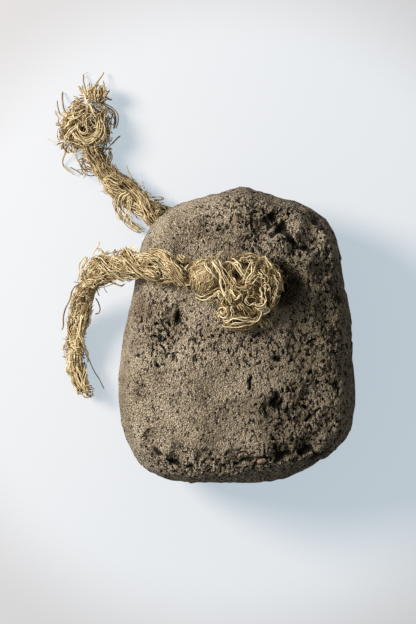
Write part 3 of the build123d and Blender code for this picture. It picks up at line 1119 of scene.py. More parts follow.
@dataclass
class LobeSurface:
    """Union of flattened balls: (centre, plan radius, half height) each, with a floor under them."""

    lobes: tuple[tuple[Triple, float, float], ...]
    base: float
    dents: tuple[tuple[float, float, float, float], ...] = ()

    def sunk(self, lines: Array) -> Array:
        """Lines lowered by depth * exp(-(d / radius)^2) over each dent (x, y, radius, depth)."""
        lines = lines.copy()
        for x, y, radius, depth in self.dents:
            away = ((lines[..., 0] - x) ** 2 + (lines[..., 1] - y) ** 2) / radius ** 2
            lines[..., 2] -= depth * np.exp(-away)
        lines[..., 2] = np.maximum(lines[..., 2], self.base)
        return lines

    def top(self, x: Array, y: Array) -> Array:
        """Height of the highest lobe over each place, or a slope towards the base beside them."""
        height = np.full(x.shape, self.base)
        for (cx, cy, cz), radius, half in self.lobes:
            share = ((x - cx) ** 2 + (y - cy) ** 2) / radius ** 2
            over = cz + half * np.sqrt(np.maximum(1.0 - share, 0.0))
            beside = cz - (np.sqrt(share) - 1.0) * radius * 0.7
            height = np.maximum(height, np.where(share < 1.0, over, beside))
        return height

    def sample(self, lobe: int, count: int, rng: Rng,
               scale: tuple[float, float]) -> tuple[Array, Array, Array]:
        """Random points on one lobe's upper part: points, outward directions and side directions."""
        centre, radius, half = self.lobes[lobe]
        angle = rng.uniform(0, FULL_TURN, count)
        rise = rng.uniform(-0.35, 1.0, count)
        flat = np.sqrt(np.maximum(1.0 - rise ** 2, 0.0))
        outward = np.stack([flat * np.cos(angle), flat * np.sin(angle), rise], axis=1)
        along = np.stack([-np.sin(angle), np.cos(angle), np.zeros(count)], axis=1)
        reach = np.array([radius, radius, half]) * rng.uniform(*scale, count)[:, None]
        return np.array(centre) + outward * reach, outward, along

    def wraps(self, lobe: int, axis: Triple, count: int, rng: Rng,
              scale: tuple[float, float], sway: float, wander: float, steps: int) -> Array:
        """Fibres that run over a lobe from pole to pole of an axis, like meridians.

        A point is centre + reach * (cos t axis + sin t (cos f side + sin f other)), for t along the
        fibre and f its own angle with a little sway.

        Args:
            lobe: which lobe.
            axis: direction from pole to pole.
            count: how many fibres.
            rng: source of the random angles.
            scale: least and most share of the lobe's radii.
            sway: how far the angle sways along a fibre.
            wander: strength of the smooth wander in millimetres.
            steps: points on each fibre.

        Returns:
            Lines, shape (count, steps, 3).
        """
        centre, radius, half = self.lobes[lobe]
        pole = unit(np.array(axis, float))
        side = unit(np.cross(pole, (0.0, 0.0, 1.0)))
        other = np.cross(side, pole)
        middle = 0.5 * (POLES[0] + POLES[1])
        first = rng.uniform(POLES[0], middle, count)
        last = rng.uniform(middle, POLES[1], count)
        t = math.pi * (first[:, None] + (last - first)[:, None] * np.linspace(0, 1, steps)[None, :])
        angle = rng.uniform(-0.15, math.pi + 0.15, count)[:, None] + sway * np.sin(2.0 * t) * rng.uniform(
            -1, 1, count)[:, None]
        way = (np.cos(t)[..., None] * pole + np.sin(t)[..., None]
               * (np.cos(angle)[..., None] * side + np.sin(angle)[..., None] * other))
        reach = np.array([radius, radius, half]) * rng.uniform(*scale, count)[:, None, None]
        line = np.array(centre) + way * reach + wander * line_noise(count, steps, 4, rng)
        line[..., 2] = np.maximum(line[..., 2], self.base + rng.uniform(0.2, 1.0, count)[:, None])
        return self.sunk(line)


@dataclass
class Strand:
    """Strand placed on a surface, by points of the photograph.

    lift is how far its middle stands off the surface and ends how far its two ends do.
    """

    pixels: tuple[tuple[float, float], ...]
    fibres: int = 2
    spread: float = 0.3
    radius: float = 0.2
    tint: float = 0.85
    lift: float = 0.5
    ends: tuple[float, float] = (-0.3, -0.3)
    steps: int = 24

    def lines(self, surface: RopeSurface | LobeSurface, height: float, rng: Rng) -> Array:
        """Lines of the strand's fibres, laid on a surface.

        Args:
            surface: what the strand lies on.
            height: height at which the photograph's points are read.
            rng: source of the fibres' wander.

        Returns:
            Lines, shape (fibres, steps, 3).
        """
        flat = np.array([(*seen_at(x, y, height), 0.0) for x, y in self.pixels])
        middle = smooth_line(flat, self.steps)
        t = np.linspace(0.0, 1.0, self.steps)
        rise = self.lift + (self.ends[0] - self.lift) * (1 - t) ** 6 + (self.ends[1] - self.lift) * t ** 6
        middle[:, 2] = surface.top(middle[:, 0], middle[:, 1]) + rise
        middle[:, 2] = np.convolve(np.pad(middle[:, 2], 2, mode="edge"), np.ones(5) / 5.0, mode="valid")
        side = unit(np.stack([-np.gradient(middle[:, 1]), np.gradient(middle[:, 0]), 0 * t], axis=1))
        many = self.fibres > 1
        apart = np.arange(self.fibres) - 0.5 * (self.fibres - 1) + rng.uniform(-0.45, 0.45, self.fibres)
        apart = apart * self.spread
        pinch = 0.45 + 0.55 * np.sin(math.pi * (0.12 + 0.76 * t))
        lines = middle[None] + apart[:, None, None] * pinch[None, :, None] * side[None]
        lines[..., 2] += many * rng.uniform(-0.45, 0.3, self.fibres)[:, None]
        wander = 0.14 + 0.42 * self.spread * many
        lines = lines + wander * line_noise(self.fibres, self.steps, self.steps // 4, rng)
        first, last = many * rng.uniform(0.0, 0.14, (2, self.fibres))
        place = (first[:, None] + (1.0 - first - last)[:, None] * t) * (self.steps - 1)
        low = np.minimum(place.astype(int), self.steps - 2)
        share = (place - low)[..., None]
        row = np.arange(self.fibres)[:, None]
        return lines[row, low] * (1.0 - share) + lines[row, low + 1] * share


def placed_strands(*rows: tuple) -> tuple[Strand, ...]:
    """Strands from rows of x, y, x, y and so on, followed by the fields after the pixels."""
    return tuple(Strand(tuple(zip(flat[::2], flat[1::2])), *rest) for flat, *rest in rows)


def add_strands(bundle: FibreBundle, strands: tuple[Strand, ...], surface: RopeSurface | LobeSurface,
                height: float, rng: Rng) -> None:
    """Add every strand of a list to a bundle."""
    for strand in strands:
        lines = strand.lines(surface, height, rng)
        bundle.add(lines, strand.radius * rng.uniform(0.7, 1.35, strand.fibres),
                   np.clip(strand.tint + rng.uniform(-0.3, 0.12, strand.fibres), 0.0, 1.0))


@dataclass
class Rope:
    """One stretch of rope: a lay carried along a route's smooth line, with fuzz and loose strands."""

    name: str
    spine: Array
    lay: RopeLay
    seed: int
    outer: int = 1240
    inner: int = 50
    core: float = 0.56
    span: tuple[float, float] = (6.0, 21.0)
    most_lift: float = 2.0
    thin_from: float = 1.0
    paler: float = 0.0

    def plies(self, material: Material) -> Piece:
        """Make the plies and let them stand for their tube: a core and inner fibres tinted dark as painted
        shade, long fibres and short ones.
        """
        rng = np.random.default_rng(self.seed)
        length = float(np.linalg.norm(np.diff(self.spine, axis=0), axis=1).sum())
        made = FibreBundle()
        core = self.lay.fibres(self.spine, np.zeros(2), np.ones(2), np.zeros(2), np.zeros(2),
                               np.arange(2), int(length / 2.0) + 2, np.zeros(2), rng)
        # Painted shade: the core takes the darkest tint
        made.add(core, self.lay.ply_radius * self.core, 0.0, 0.8)
        count = self.inner
        furthest = self.thin_from + (1.0 - self.thin_from) * rng.uniform(0.0, 1.0, count) ** 0.2
        lines = self.lay.scattered(self.spine, np.zeros(count), furthest, (0.6, 0.9), int(length / 1.6),
                                   np.zeros(count), rng)
        # Painted shade: the inner fibres are tinted dark
        made.grow(rng, lines, (0.22, 0.32), Tint(0.0, 0.25, even=True))
        count = self.outer
        spans = rng.uniform(*self.span, count) / length
        starts = rng.uniform(-0.4 * spans, self.thin_from - 0.3 * spans)
        furthest = self.thin_from + (1.0 - self.thin_from) * rng.uniform(0.0, 1.0, count) ** 0.5
        spans = np.minimum(spans, furthest - starts)
        lift = rng.uniform(-0.4, 1.0, count) ** 3 * self.most_lift
        tint = rng.beta(1.6, 1.1, count) + self.paler * smooth_step(starts + 0.5 * spans, 0.4, 0.6)
        lines = self.lay.scattered(self.spine, starts, spans, (0.84, 1.14), 14, lift, rng)
        made.add(lines, rng.uniform(0.10, 0.22, count), np.clip(tint, 0.0, 1.0))
        piece = made.build(self.name + "_plies", material)
        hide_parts(self.name)
        return piece

    def fuzz(self, material: Material, placed: tuple[Strand, ...], curl_count: int,
             stub_count: int, height: float) -> Piece:
        """Make the loose fibres on the stretch: random curls and ends, and the listed strands.

        Args:
            material: finish of the fibres.
            placed: the listed strands.
            curl_count: number of small curls.
            stub_count: number of short ends.
            height: height at which the strands' photograph points are read.

        Returns:
            The piece.
        """
        rng = np.random.default_rng(self.seed + 1)
        made = FibreBundle()
        surface = RopeSurface(self.spine)
        swell = self.lay.along(self.lay.swell, np.linspace(0, 1, len(self.spine)))
        base, outward, along = surface.sample(curl_count, 0.88 * swell, rng)
        made.grow(rng, curls(base, outward, along, (0.7, 2.6), (0.9, 3.6), rng, 11, 0.3), (0.10, 0.20),
                  Tint(1.9, 1.1))
        base, outward, along = surface.sample(stub_count, 0.86 * swell, rng)
        made.grow(rng, stubs(base, outward, along, (1.0, 3.4), rng), (0.10, 0.20), Tint(1.6, 1.4))
        add_strands(made, placed, surface, height, rng)
        return made.build(self.name + "_fuzz", material)


FRONT_STRANDS = placed_strands(
    ((97.7, 241.2, 99, 243.3, 96.5, 247.4, 92.3, 252.8, 93.2, 256.6, 97.3, 257.8, 98.1, 255), 1, 0.2, 0.25,
     0.8, 1),
    ((96.5, 249.5, 101.5, 249.9, 103.5, 252.4, 101, 254.5), 2, 0.54, 0.19, 0.7, 0.8),
    ((106.4, 279.8, 95.7, 279.8, 84.9, 281.4, 77, 283.9, 69.6, 289.7, 66.8, 299.7, 61.6, 309.6, 59.4, 317,
     59.4, 326, 57.4, 331), 1, 0.3, 0.34, 0.5, 1.6, (0, 1), 40),
    ((98, 280.5, 108, 281.4, 111.4, 282.7, 118, 285.2, 122.2, 286, 125.9, 284.3), 1, 0.2, 0.3, 0.4, 0.4,
     (0.2, 0)),
    ((106.4, 281.4, 103.5, 283.9, 103.1, 288.1, 105.6, 292.6), 1, 0.2, 0.15, 0.4, 0, (0, 0)),
    ((128, 247, 133, 247.9, 138.8, 251.6, 142.1, 254.9, 141.3, 257), 2, 0.41, 0.22, 0.75, 1),
    ((125.5, 248.3, 129.7, 251.6, 137.1, 254.9), 1, 0.3, 0.24, 0.6, 1),
    ((115.6, 249, 114.7, 254.2, 113, 258), 2, 0.68, 0.19, 0.5, 0.8, (0.6, 0)),
    ((123, 248.4, 123.8, 253.2, 125, 259), 2, 0.81, 0.19, 0.55, 0.8, (0.6, 0)),
    ((127, 249, 128.5, 254, 129, 261), 3, 0.81, 0.19, 0.6, 0.8, (0.6, 0)),
    ((94, 283.1, 95.2, 289.7, 97.7, 296.4), 2, 0.41, 0.19, 0.5, 0.3),
    ((93.2, 298, 96.5, 303.8, 97.3, 308.8, 95.7, 312.5, 92.2, 313.8), 1, 0.3, 0.25, 0.55, 0.4),
    ((78.2, 286.4, 75.8, 291.4, 76.6, 293.6, 80.3, 291.4, 80.7, 287), 3, 0.47, 0.2, 0.7, 0.8),
    ((83.8, 310, 79, 318, 77.2, 327, 76.8, 335, 79.4, 341, 82.2, 350, 84, 360, 85, 368), 2, 0.47, 0.27,
     0.98, 1.2, (0, 0), 36),
    ((68.3, 345, 71, 347.5, 76, 349.5, 80.5, 354), 4, 0.57, 0.22, 0.85, 0.5),
    ((66, 351, 70, 353.5, 75, 354.5, 79, 358), 3, 0.57, 0.22, 0.8, 0.5),
    ((82.5, 355, 86.5, 364, 91, 373.5, 96, 382, 100.8, 391.8), 1, 0.2, 0.26, 0.3, 0.3, (0, 0)),
    ((73, 367, 77, 376, 80.5, 384, 79, 391), 2, 0.54, 0.21, 0.9, 0.6),
    ((82.5, 367, 80.8, 377, 79.4, 386, 78.6, 391), 2, 0.54, 0.21, 0.95, 0.6),
    ((70.5, 370, 74.5, 382, 80, 391, 86.5, 398, 92.6, 400.8), 2, 0.41, 0.23, 0.7, 0.3, (0, 0)),
    ((68, 372, 71.5, 384, 77, 392.5), 4, 0.68, 0.22, 0.7, 0.3),
    ((80, 388, 84.5, 391, 90, 390.5), 5, 0.74, 0.22, 0.75, 0.4),
    ((80, 393, 84, 396.5, 89, 394), 4, 0.74, 0.22, 0.7, 0.3),
    ((88.6, 256.5, 83, 266, 80.5, 277, 76.5, 284), 5, 0.81, 0.22, 0.7, 0.6, (-0.3, -0.3), 20),
    ((108, 259, 98, 264, 90, 273, 84, 284), 6, 0.81, 0.22, 0.8, 0.6, (-0.3, -0.3), 20),
    ((116, 259, 108, 265, 102, 272, 97.5, 280), 4, 0.81, 0.23, 0.9, 0.6, (-0.3, -0.3), 20),
    ((124, 262, 116, 259, 109, 261), 3, 0.68, 0.21, 0.95, 0.8),
    ((116, 262, 117, 270, 121, 277, 126, 281.5), 4, 0.81, 0.21, 0.85, 0.8),
    ((126, 263, 131, 270, 139, 272, 146, 268), 4, 0.81, 0.22, 0.8, 0.6),
    ((130, 263.5, 138, 259.5, 147, 259, 155, 262.5), 6, 0.68, 0.22, 0.9, 0.8),
    ((143.5, 270, 152, 271.5, 160, 277), 5, 0.68, 0.22, 0.85, 0.9),
    ((163.5, 267.3, 170, 267, 176, 271, 180.3, 277), 6, 0.68, 0.22, 0.95, 0.9),
    ((148, 252.8, 157, 253.5, 166, 256.5, 176, 262), 5, 0.74, 0.22, 0.75, 0.7),
    ((176, 256, 180, 262, 186, 264, 191, 260), 6, 0.94, 0.22, 0.8, 0.8),
    ((178, 280, 186, 285.5, 192, 288.5), 5, 0.68, 0.22, 0.75, 0.3),
    ((152, 281.5, 160, 283, 170, 282, 180, 281), 3, 0.54, 0.2, 0.7, 0),
)

BACK_STRANDS = placed_strands(
    ((135.8, 187, 132, 178, 127.5, 170, 126, 165), 1, 0.2, 0.25, 0.75, 1, (0, 1)),
    ((143.8, 188, 143, 184, 141.8, 180), 1, 0.2, 0.26, 0.6, 1, (0, 1)),
    ((126, 193, 118.5, 200, 119.5, 212, 125, 217), 5, 1, 0.21, 0.85, 0.8),
    ((130.5, 192, 123, 201, 124.5, 214), 5, 1, 0.21, 0.95, 0.9),
    ((131, 192, 129, 205, 126, 218, 127, 226), 3, 0.81, 0.21, 0.9, 0.9),
    ((139.5, 191, 143, 198, 141.5, 206, 138, 208), 4, 0.94, 0.21, 0.95, 0.9),
    ((144, 190, 147.5, 197, 145.5, 205, 142, 208.5), 3, 0.81, 0.21, 0.85, 0.8),
    ((131, 205, 138, 207.5, 145, 212, 149, 220), 3, 0.81, 0.22, 0.95, 0.6, (0, 0)),
    ((134.5, 211, 141, 214.5, 147, 220, 150, 223.5), 2, 0.81, 0.22, 0.9, 0.6, (0, 0)),
    ((143, 219.5, 150, 219.5, 152, 219), 1, 0.3, 0.28, 0.6, 0),
    ((113, 196, 117, 207, 124, 217, 133, 226, 143, 231), 5, 0.74, 0.21, 0.6, 0.2),
    ((127, 213, 130.5, 222, 138, 228, 144, 231), 4, 0.74, 0.21, 0.8, 0.5),
    ((103, 179, 112, 183, 122, 187), 6, 0.94, 0.22, 0.85, 0.7),
    ((101, 186, 110, 189, 119, 194), 6, 0.94, 0.22, 0.8, 0.7),
    ((147, 202, 155, 199.5, 164, 199), 4, 0.94, 0.22, 0.75, 0.3, (0, 0)),
    ((147, 207, 156, 205, 166.5, 203), 5, 1.1, 0.22, 0.8, 0.3, (0, 0)),
    ((148, 212, 156, 211.5, 164, 208), 4, 1.1, 0.22, 0.7, 0.2, (0, 0)),
    ((149, 215, 155, 213.5, 161, 209.5), 2, 0.68, 0.23, 0.9, 0.3, (0, 0)),
    ((110.3, 162, 115, 168, 117, 174, 118.5, 177), 3, 0.68, 0.21, 0.4, 0.5),
)

KNOT_STRANDS = placed_strands(
    ((214.5, 258.4, 217.8, 263.8, 221.2, 269.1, 223.2, 274.5, 225.9, 279.8, 228.5, 285.2, 229.2, 290.5,
     228.5, 295.9, 229.9, 301.3, 229.9, 306), 4, 0.98, 0.18, 0.95, 1.5, (0, 0.5), 36),
    ((211.8, 260.4, 215.8, 265.8, 219.2, 271.8, 220.5, 277.2, 220.2, 283.8, 222.5, 289.2, 224.5, 293.9,
     228.5, 296.9), 2, 0.41, 0.21, 1, 1.3, (0, 0.5), 32),
    ((205.1, 259.4, 206.1, 265.8, 209.8, 271.1, 213.1, 275.1, 217.2, 279.8), 2, 0.34, 0.23, 0.98, 0.9),
    ((203.1, 259.4, 209.8, 258.1, 215.1, 258.1, 218.5, 253.7, 225.9, 253), 3, 0.92, 0.22, 0.85, 0.8),
    ((224.5, 261.7, 231.2, 263.1, 235.9, 266.4, 238.6, 271.8, 241.9, 275.8, 245.3, 279.5), 2, 1, 0.21, 1,
     1.1, (0, -0.8)),
    ((228.5, 259.7, 235.2, 261.1, 239.9, 264.4, 241.9, 269.8, 246.3, 276.1), 2, 1, 0.21, 0.95, 1.1, (0,
     -0.8)),
    ((239.3, 261.1, 243.3, 257.1, 250, 257.7, 255.3, 259.1), 3, 1, 0.22, 0.8, 0.7),
    ((256, 258.4, 254, 263.1, 252, 267.8, 250, 273.8, 246.6, 279.2, 244, 284.8), 3, 1, 0.22, 0.95, 1.2, (0,
     -0.8)),
    ((256.7, 258.4, 263.4, 257.7, 268.7, 261.1, 270.7, 265.8, 270.7, 271.5), 3, 1, 0.22, 0.75, 0.6),
    ((273.4, 269.8, 278.1, 270.1, 281.1, 270.9, 283.5, 273.1), 2, 0.47, 0.23, 0.9, 0.6, (0, 0.6)),
    ((272.1, 273.8, 272.1, 279.8, 273.4, 287.9), 2, 1, 0.23, 0.8, 0.6),
    ((275.1, 270.8, 279.5, 277.2, 281.5, 285.2, 281.5, 293.9), 2, 0.54, 0.21, 0.95, 0.6),
    ((273.8, 274.2, 276.8, 282.5, 278.1, 287.9, 275.4, 293.2, 278.1, 296.6, 280.8, 294.2), 2, 0.54, 0.23,
     0.95, 0.6),
    ((277, 275, 279, 283, 279.6, 291), 2, 0.54, 0.22, 0.7, 0.3),
    ((273.4, 294.9, 272.8, 302.6, 269.4, 309.3), 2, 1, 0.23, 0.75, 0.6),
    ((272.8, 302.9, 275.4, 309.3, 276.8, 317.3), 3, 1, 0.22, 0.6, 0.6),
    ((257.3, 273.1, 261.4, 274.5, 264, 279.8, 262.7, 283.8), 3, 1, 0.22, 1, 1.6),
    ((262.7, 283.8, 266.7, 285.2, 268.7, 288.5, 266.1, 291.2), 3, 0.85, 0.21, 0.9, 1.2),
    ((256.7, 274.5, 253.3, 278.5, 250, 282.5, 243.3, 285.2), 2, 1, 0.21, 0.95, 1.2),
    ((254, 281.2, 248.6, 284.5, 243.3, 287.9, 238.6, 287.9, 235.2, 285.2), 2, 1, 0.21, 0.9, 1),
    ((229.2, 290.5, 232.6, 294.6, 235.9, 299.6), 2, 0.54, 0.21, 0.95, 1.6),
    ((234.6, 300.8, 238.2, 297.6, 241.9, 294.4), 2, 0.54, 0.22, 1, 1.8, (0.8, 1.6)),
    ((248.6, 295.2, 246, 298.6, 247.3, 303.9, 251.3, 305.3, 255.3, 301.3), 2, 0.54, 0.23, 0.95, 1),
    ((262.7, 286.5, 262.7, 295.9, 263.4, 301.9, 263.4, 306.6), 2, 1, 0.21, 0.85, 0.9),
    ((258.7, 297.9, 262.7, 299.9, 262.7, 303.9, 258, 305.3, 256.7, 301.9), 2, 1, 0.23, 0.95, 1.2),
    ((254, 305.3, 260, 308, 266.1, 309.3, 266.7, 312.6, 262, 314.7), 3, 1, 0.21, 0.9, 1),
    ((219.2, 319.3, 225.9, 320.7, 232.6, 318, 240.6, 318, 247.3, 319.3, 254, 320.7, 258.7, 317.3, 261.4,
     312, 258, 310, 260, 306.6), 3, 0.85, 0.21, 0.95, 0.8, (-0.3, -0.3), 36),
    ((220.5, 320, 224.5, 323.4, 231.2, 325.4, 239.3, 324.7, 246, 322.7, 252.7, 323.4, 257.7, 319.7), 3,
     0.85, 0.21, 0.9, 0.6, (-0.3, -0.3), 30),
    ((217.2, 310, 215.8, 313.3, 218.5, 319.7), 3, 1, 0.21, 0.85, 0.8),
    ((217.2, 310, 221.8, 309.3, 225.9, 314, 222.5, 315.3, 219.2, 312.6), 2, 1, 0.23, 0.9, 1),
    ((229.9, 305.3, 226.5, 308.6, 227.2, 314.3, 226.5, 319), 2, 0.54, 0.21, 0.95, 1),
    ((230.6, 305.3, 232.6, 310.6, 233.2, 318.3), 2, 0.54, 0.21, 0.95, 1.2),
    ((238.6, 302.3, 243.3, 308.6, 248.6, 315, 252.7, 318.5), 2, 0.68, 0.22, 0.65, 0.3),
    ((241.3, 303.3, 247.3, 308.3, 251.3, 312, 254, 316), 2, 0.68, 0.22, 0.7, 0.3),
    ((237.4, 304.3, 240.9, 310), 2, 0.54, 0.21, 0.95, 1, (-0.3, -0.3), 8),
    ((212.5, 295.2, 217.8, 293.2, 220.5, 295.9, 223.2, 299.6), 2, 1, 0.21, 0.95, 0.9),
    ((211.8, 300.6, 216.5, 297.2, 220.5, 300.6, 219.2, 304.9), 3, 0.92, 0.21, 0.85, 0.9),
    ((203.1, 298.6, 205.1, 301.9, 209.8, 302.6, 212.5, 299.9, 211.1, 295.9, 206.4, 295.2), 2, 1, 0.21, 0.95,
     0.8),
    ((193.7, 291.9, 199.1, 294.6, 203.1, 295.9, 209.8, 293.2, 216.5, 289.2, 221.5, 287.5), 4, 0.95, 0.23,
     0.8, 0.6),
    ((260, 317, 262, 323, 266, 327.4), 3, 1, 0.22, 0.65, 0.4),
    ((266, 318.3, 269.4, 323, 268.7, 328.7), 3, 1, 0.22, 0.7, 0.4),
    ((224, 281, 232, 284, 238.5, 291), 2, 1, 0.22, 0.55, 0.4),
    ((232, 276, 236, 283, 243, 290, 249, 292), 2, 1, 0.22, 0.6, 0.4),
)

BALL_STRANDS = placed_strands(
    ((82.2, 71.4, 82.2, 77.6, 84, 84, 86, 92), 1, 0.2, 0.25, 0.65, 0.6, (0, 0)),
    ((87, 69.5, 84, 70.5, 82.2, 71.6), 1, 0.2, 0.12, 0.6, 0.4, (0, 0), 8),
    ((103.1, 69.5, 98, 78.3, 92.1, 86.8, 90, 92), 1, 0.2, 0.25, 0.65, 0.8, (0.4, 0)),
    ((60.9, 89.3, 60.5, 95.2, 61.6, 102.6, 63.5, 109.2, 67.1, 113.6, 72, 117), 1, 0.2, 0.34, 0.45, 0.4),
    ((55.4, 97.1, 55.8, 102.6, 57.6, 109.2, 61.3, 114.3, 67.1, 116.5, 72, 119), 2, 0.41, 0.21, 0.55, 0.3),
    ((54.3, 105.5, 55.4, 112.8, 59.1, 117.2, 65.7, 121.3, 71, 125), 2, 0.41, 0.21, 0.55, 0.3),
    ((54.6, 122, 59.1, 123.8, 66.2, 125.8), 2, 0.68, 0.27, 0.3, 0.2),
    ((44.4, 137, 49.5, 138.1, 53.9, 142.9, 58.3, 145.1, 63, 145), 1, 0.2, 0.1, 0.9, 0.2, (0, 0)),
    ((65.2, 132.8, 64.2, 138.8, 64.9, 145.1, 63.5, 152.4, 61.3, 159, 62, 164.2, 67.1, 169.3, 73, 174.5), 2,
     0.38, 0.21, 0.7, 0.4, (-0.3, 0), 34),
    ((62.4, 140.7, 60.5, 148), 1, 0.2, 0.26, 0.5, 0.2, (-0.3, -0.3), 8),
    ((100, 99, 104.6, 103.3, 110.4, 107, 115.6, 112.8, 116.7, 120.2, 113.4, 129.2), 2, 0.47, 0.29, 0.45,
     0.6, (0, -1), 28),
    ((104, 104, 108.2, 107.7, 112.6, 112.8, 114.1, 120.2, 112.3, 127), 2, 0.47, 0.21, 0.6, 0.4),
    ((113.4, 110.4, 110.4, 115.8, 106, 119.7, 101, 122), 2, 0.41, 0.23, 0.6, 0.2),
    ((107, 113, 109.5, 118, 111.5, 124), 2, 0.54, 0.22, 0.35, 0),
    ((102.6, 94.2, 106, 95.6, 110.4, 98.3), 1, 0.3, 0.28, 0.6, 0.4, (0, 0.2), 12),
    ((110.6, 143.7, 113.6, 139.8, 116, 137.2, 119.4, 134.3), 1, 0.3, 0.27, 0.35, 0.3, (0, 0.2), 14),
    ((96.5, 101.1, 96.5, 90.8, 98.7, 82.7), 4, 0.61, 0.21, 0.85, 1),
    ((98.7, 98.2, 98.7, 90.8, 101.6, 86.4, 103.6, 93.7, 102.8, 100.6), 4, 0.61, 0.21, 0.8, 1.2),
    ((88.4, 81.3, 87.7, 90.8, 90.6, 98.2), 3, 0.68, 0.21, 0.85, 1),
    ((77, 83.2, 78.9, 87.1, 82.6, 91.5), 2, 0.61, 0.23, 0.5, 0.8),
    ((80, 83.5, 81.2, 87.5, 84.5, 93), 2, 0.61, 0.23, 0.7, 0.9),
    ((91.8, 82.2, 90.2, 87.8, 86.5, 92, 85, 98), 2, 0.54, 0.23, 0.8, 1),
    ((95.5, 84.5, 93.6, 91, 92.2, 99), 2, 0.61, 0.23, 0.6, 0.6),
    ((81.1, 87.1, 84, 93.7, 87, 101.1, 90.6, 107.7, 94.3, 115, 98.5, 119.2), 2, 0.54, 0.27, 1, 1.6, (-0.3,
     -0.3), 28),
    ((78.2, 121, 78.9, 131.2, 84, 134.6, 87, 130.4, 87, 122, 85.5, 112), 2, 0.54, 0.22, 0.9, 0.6),
    ((82.5, 112, 82.2, 121, 82.5, 127), 3, 0.68, 0.22, 0.85, 0.5),
    ((73.7, 130.4, 78.2, 137, 85.5, 140.7, 92.8, 138.5, 98, 131.9, 99.4, 124.6, 98.7, 113), 4, 0.68, 0.22,
     0.9, 1, (-0.3, -0.3), 34),
    ((76.7, 127.2, 81.1, 134.8, 87, 137, 92.8, 134.1, 97.2, 128.2, 95.8, 122.4, 91.4, 115.8, 86.2, 110.4),
     2, 0.81, 0.21, 0.75, 0.4, (-0.3, -0.3), 34),
    ((73.7, 118, 69.3, 122.4, 64.2, 127.5, 61.3, 129.6), 2, 0.61, 0.22, 0.98, 0.7),
    ((78.2, 120.2, 76.7, 126, 70.8, 130.4, 65.7, 135.6, 64.2, 141), 3, 0.68, 0.22, 0.9, 0.7),
    ((70.1, 130.2, 76.7, 138.5, 81.1, 146.6, 84.8, 152.4, 87.7, 160.8), 2, 0.54, 0.22, 1, 1, (0, 0.2), 28),
    ((103, 126.4, 102, 134, 99.2, 138.8, 94.3, 143.6, 89.4, 151), 3, 0.68, 0.22, 0.95, 0.9),
    ((97.2, 145.8, 103.1, 147.3, 111.2, 148), 2, 0.68, 0.22, 0.95, 0.7, (-0.3, -0.3), 14),
    ((104.6, 139.4, 104.1, 149, 101.6, 159.3), 2, 0.81, 0.21, 0.6, 0.3),
    ((100.4, 149, 101, 156, 99.4, 163), 2, 0.81, 0.23, 0.6, 0.2),
    ((108.2, 146.8, 109.7, 155.4, 108.2, 162.7, 110.4, 174.5), 3, 0.68, 0.22, 0.85, 0.4),
    ((105.2, 153, 107.8, 161, 111.9, 170), 2, 0.81, 0.21, 0.7, 0.3),
    ((74.5, 146, 75.2, 155.4, 77.4, 162.5), 2, 0.54, 0.21, 0.7, 0.3),
    ((78.9, 158.3, 84, 156.8, 89.9, 156.1, 96.5, 158.3, 96.5, 161.2, 91.4, 158.8), 2, 0.54, 0.22, 0.6, 0.3),
    ((68.4, 166, 74.5, 169.3, 82.1, 174.2), 1, 0.4, 0.27, 0.5, 0.3, (0, 0)),
    ((82, 152.5, 86, 154.5, 92.5, 153.2), 2, 0.54, 0.22, 0.6, 0.3, (-0.3, -0.3), 14),
    ((70.8, 95.2, 76.7, 98.2, 82.1, 105), 2, 0.54, 0.23, 0.7, 0.3),
    ((82.6, 95.2, 78.9, 98.9, 73, 101.1, 70.8, 105.5, 68.6, 111.4), 2, 0.54, 0.23, 0.65, 0.3),
    ((75.2, 94.5, 78.2, 101.1, 77.4, 107.5), 2, 0.54, 0.22, 0.65, 0.3),
    ((71.5, 107, 78.2, 107.7, 83.1, 108.8), 3, 0.61, 0.23, 0.85, 0.5),
    ((87, 107, 81.1, 109.9, 74.5, 112.8, 67.9, 114.3, 61.3, 112.8), 2, 0.61, 0.21, 0.9, 0.8),
    ((57, 134, 58.5, 137.2, 63, 137, 66, 134.5), 2, 0.61, 0.22, 0.6, 0.2),
    ((57.5, 132, 61, 129.6, 66, 128.6), 2, 0.68, 0.21, 0.6, 0.2),
    ((68, 138, 66.5, 146, 70, 152), 5, 0.81, 0.21, 0.7, 0.5),
    ((72, 140, 71, 148, 70.5, 153), 4, 0.81, 0.21, 0.65, 0.4),
    ((101, 112.5, 105, 108.5, 108, 106.5), 3, 0.68, 0.21, 0.8, 0.8),
    ((96, 104, 101.5, 105, 104.5, 110), 4, 0.68, 0.21, 0.85, 0.9),
    ((100.5, 120, 106, 127, 110.5, 133), 4, 0.81, 0.21, 0.8, 0.6),
    ((102, 133, 107, 137, 112, 138.5), 3, 0.68, 0.21, 0.9, 0.5),
)


def knot_dents(*rows: tuple[float, float, float, float]) -> tuple[tuple[float, ...], ...]:
    """Dark hollows of the knot: the photograph's x and y, and radius and depth in millimetres."""
    return tuple((*seen_at(x, y, DENT_HEIGHT), radius, depth) for x, y, radius, depth in rows)


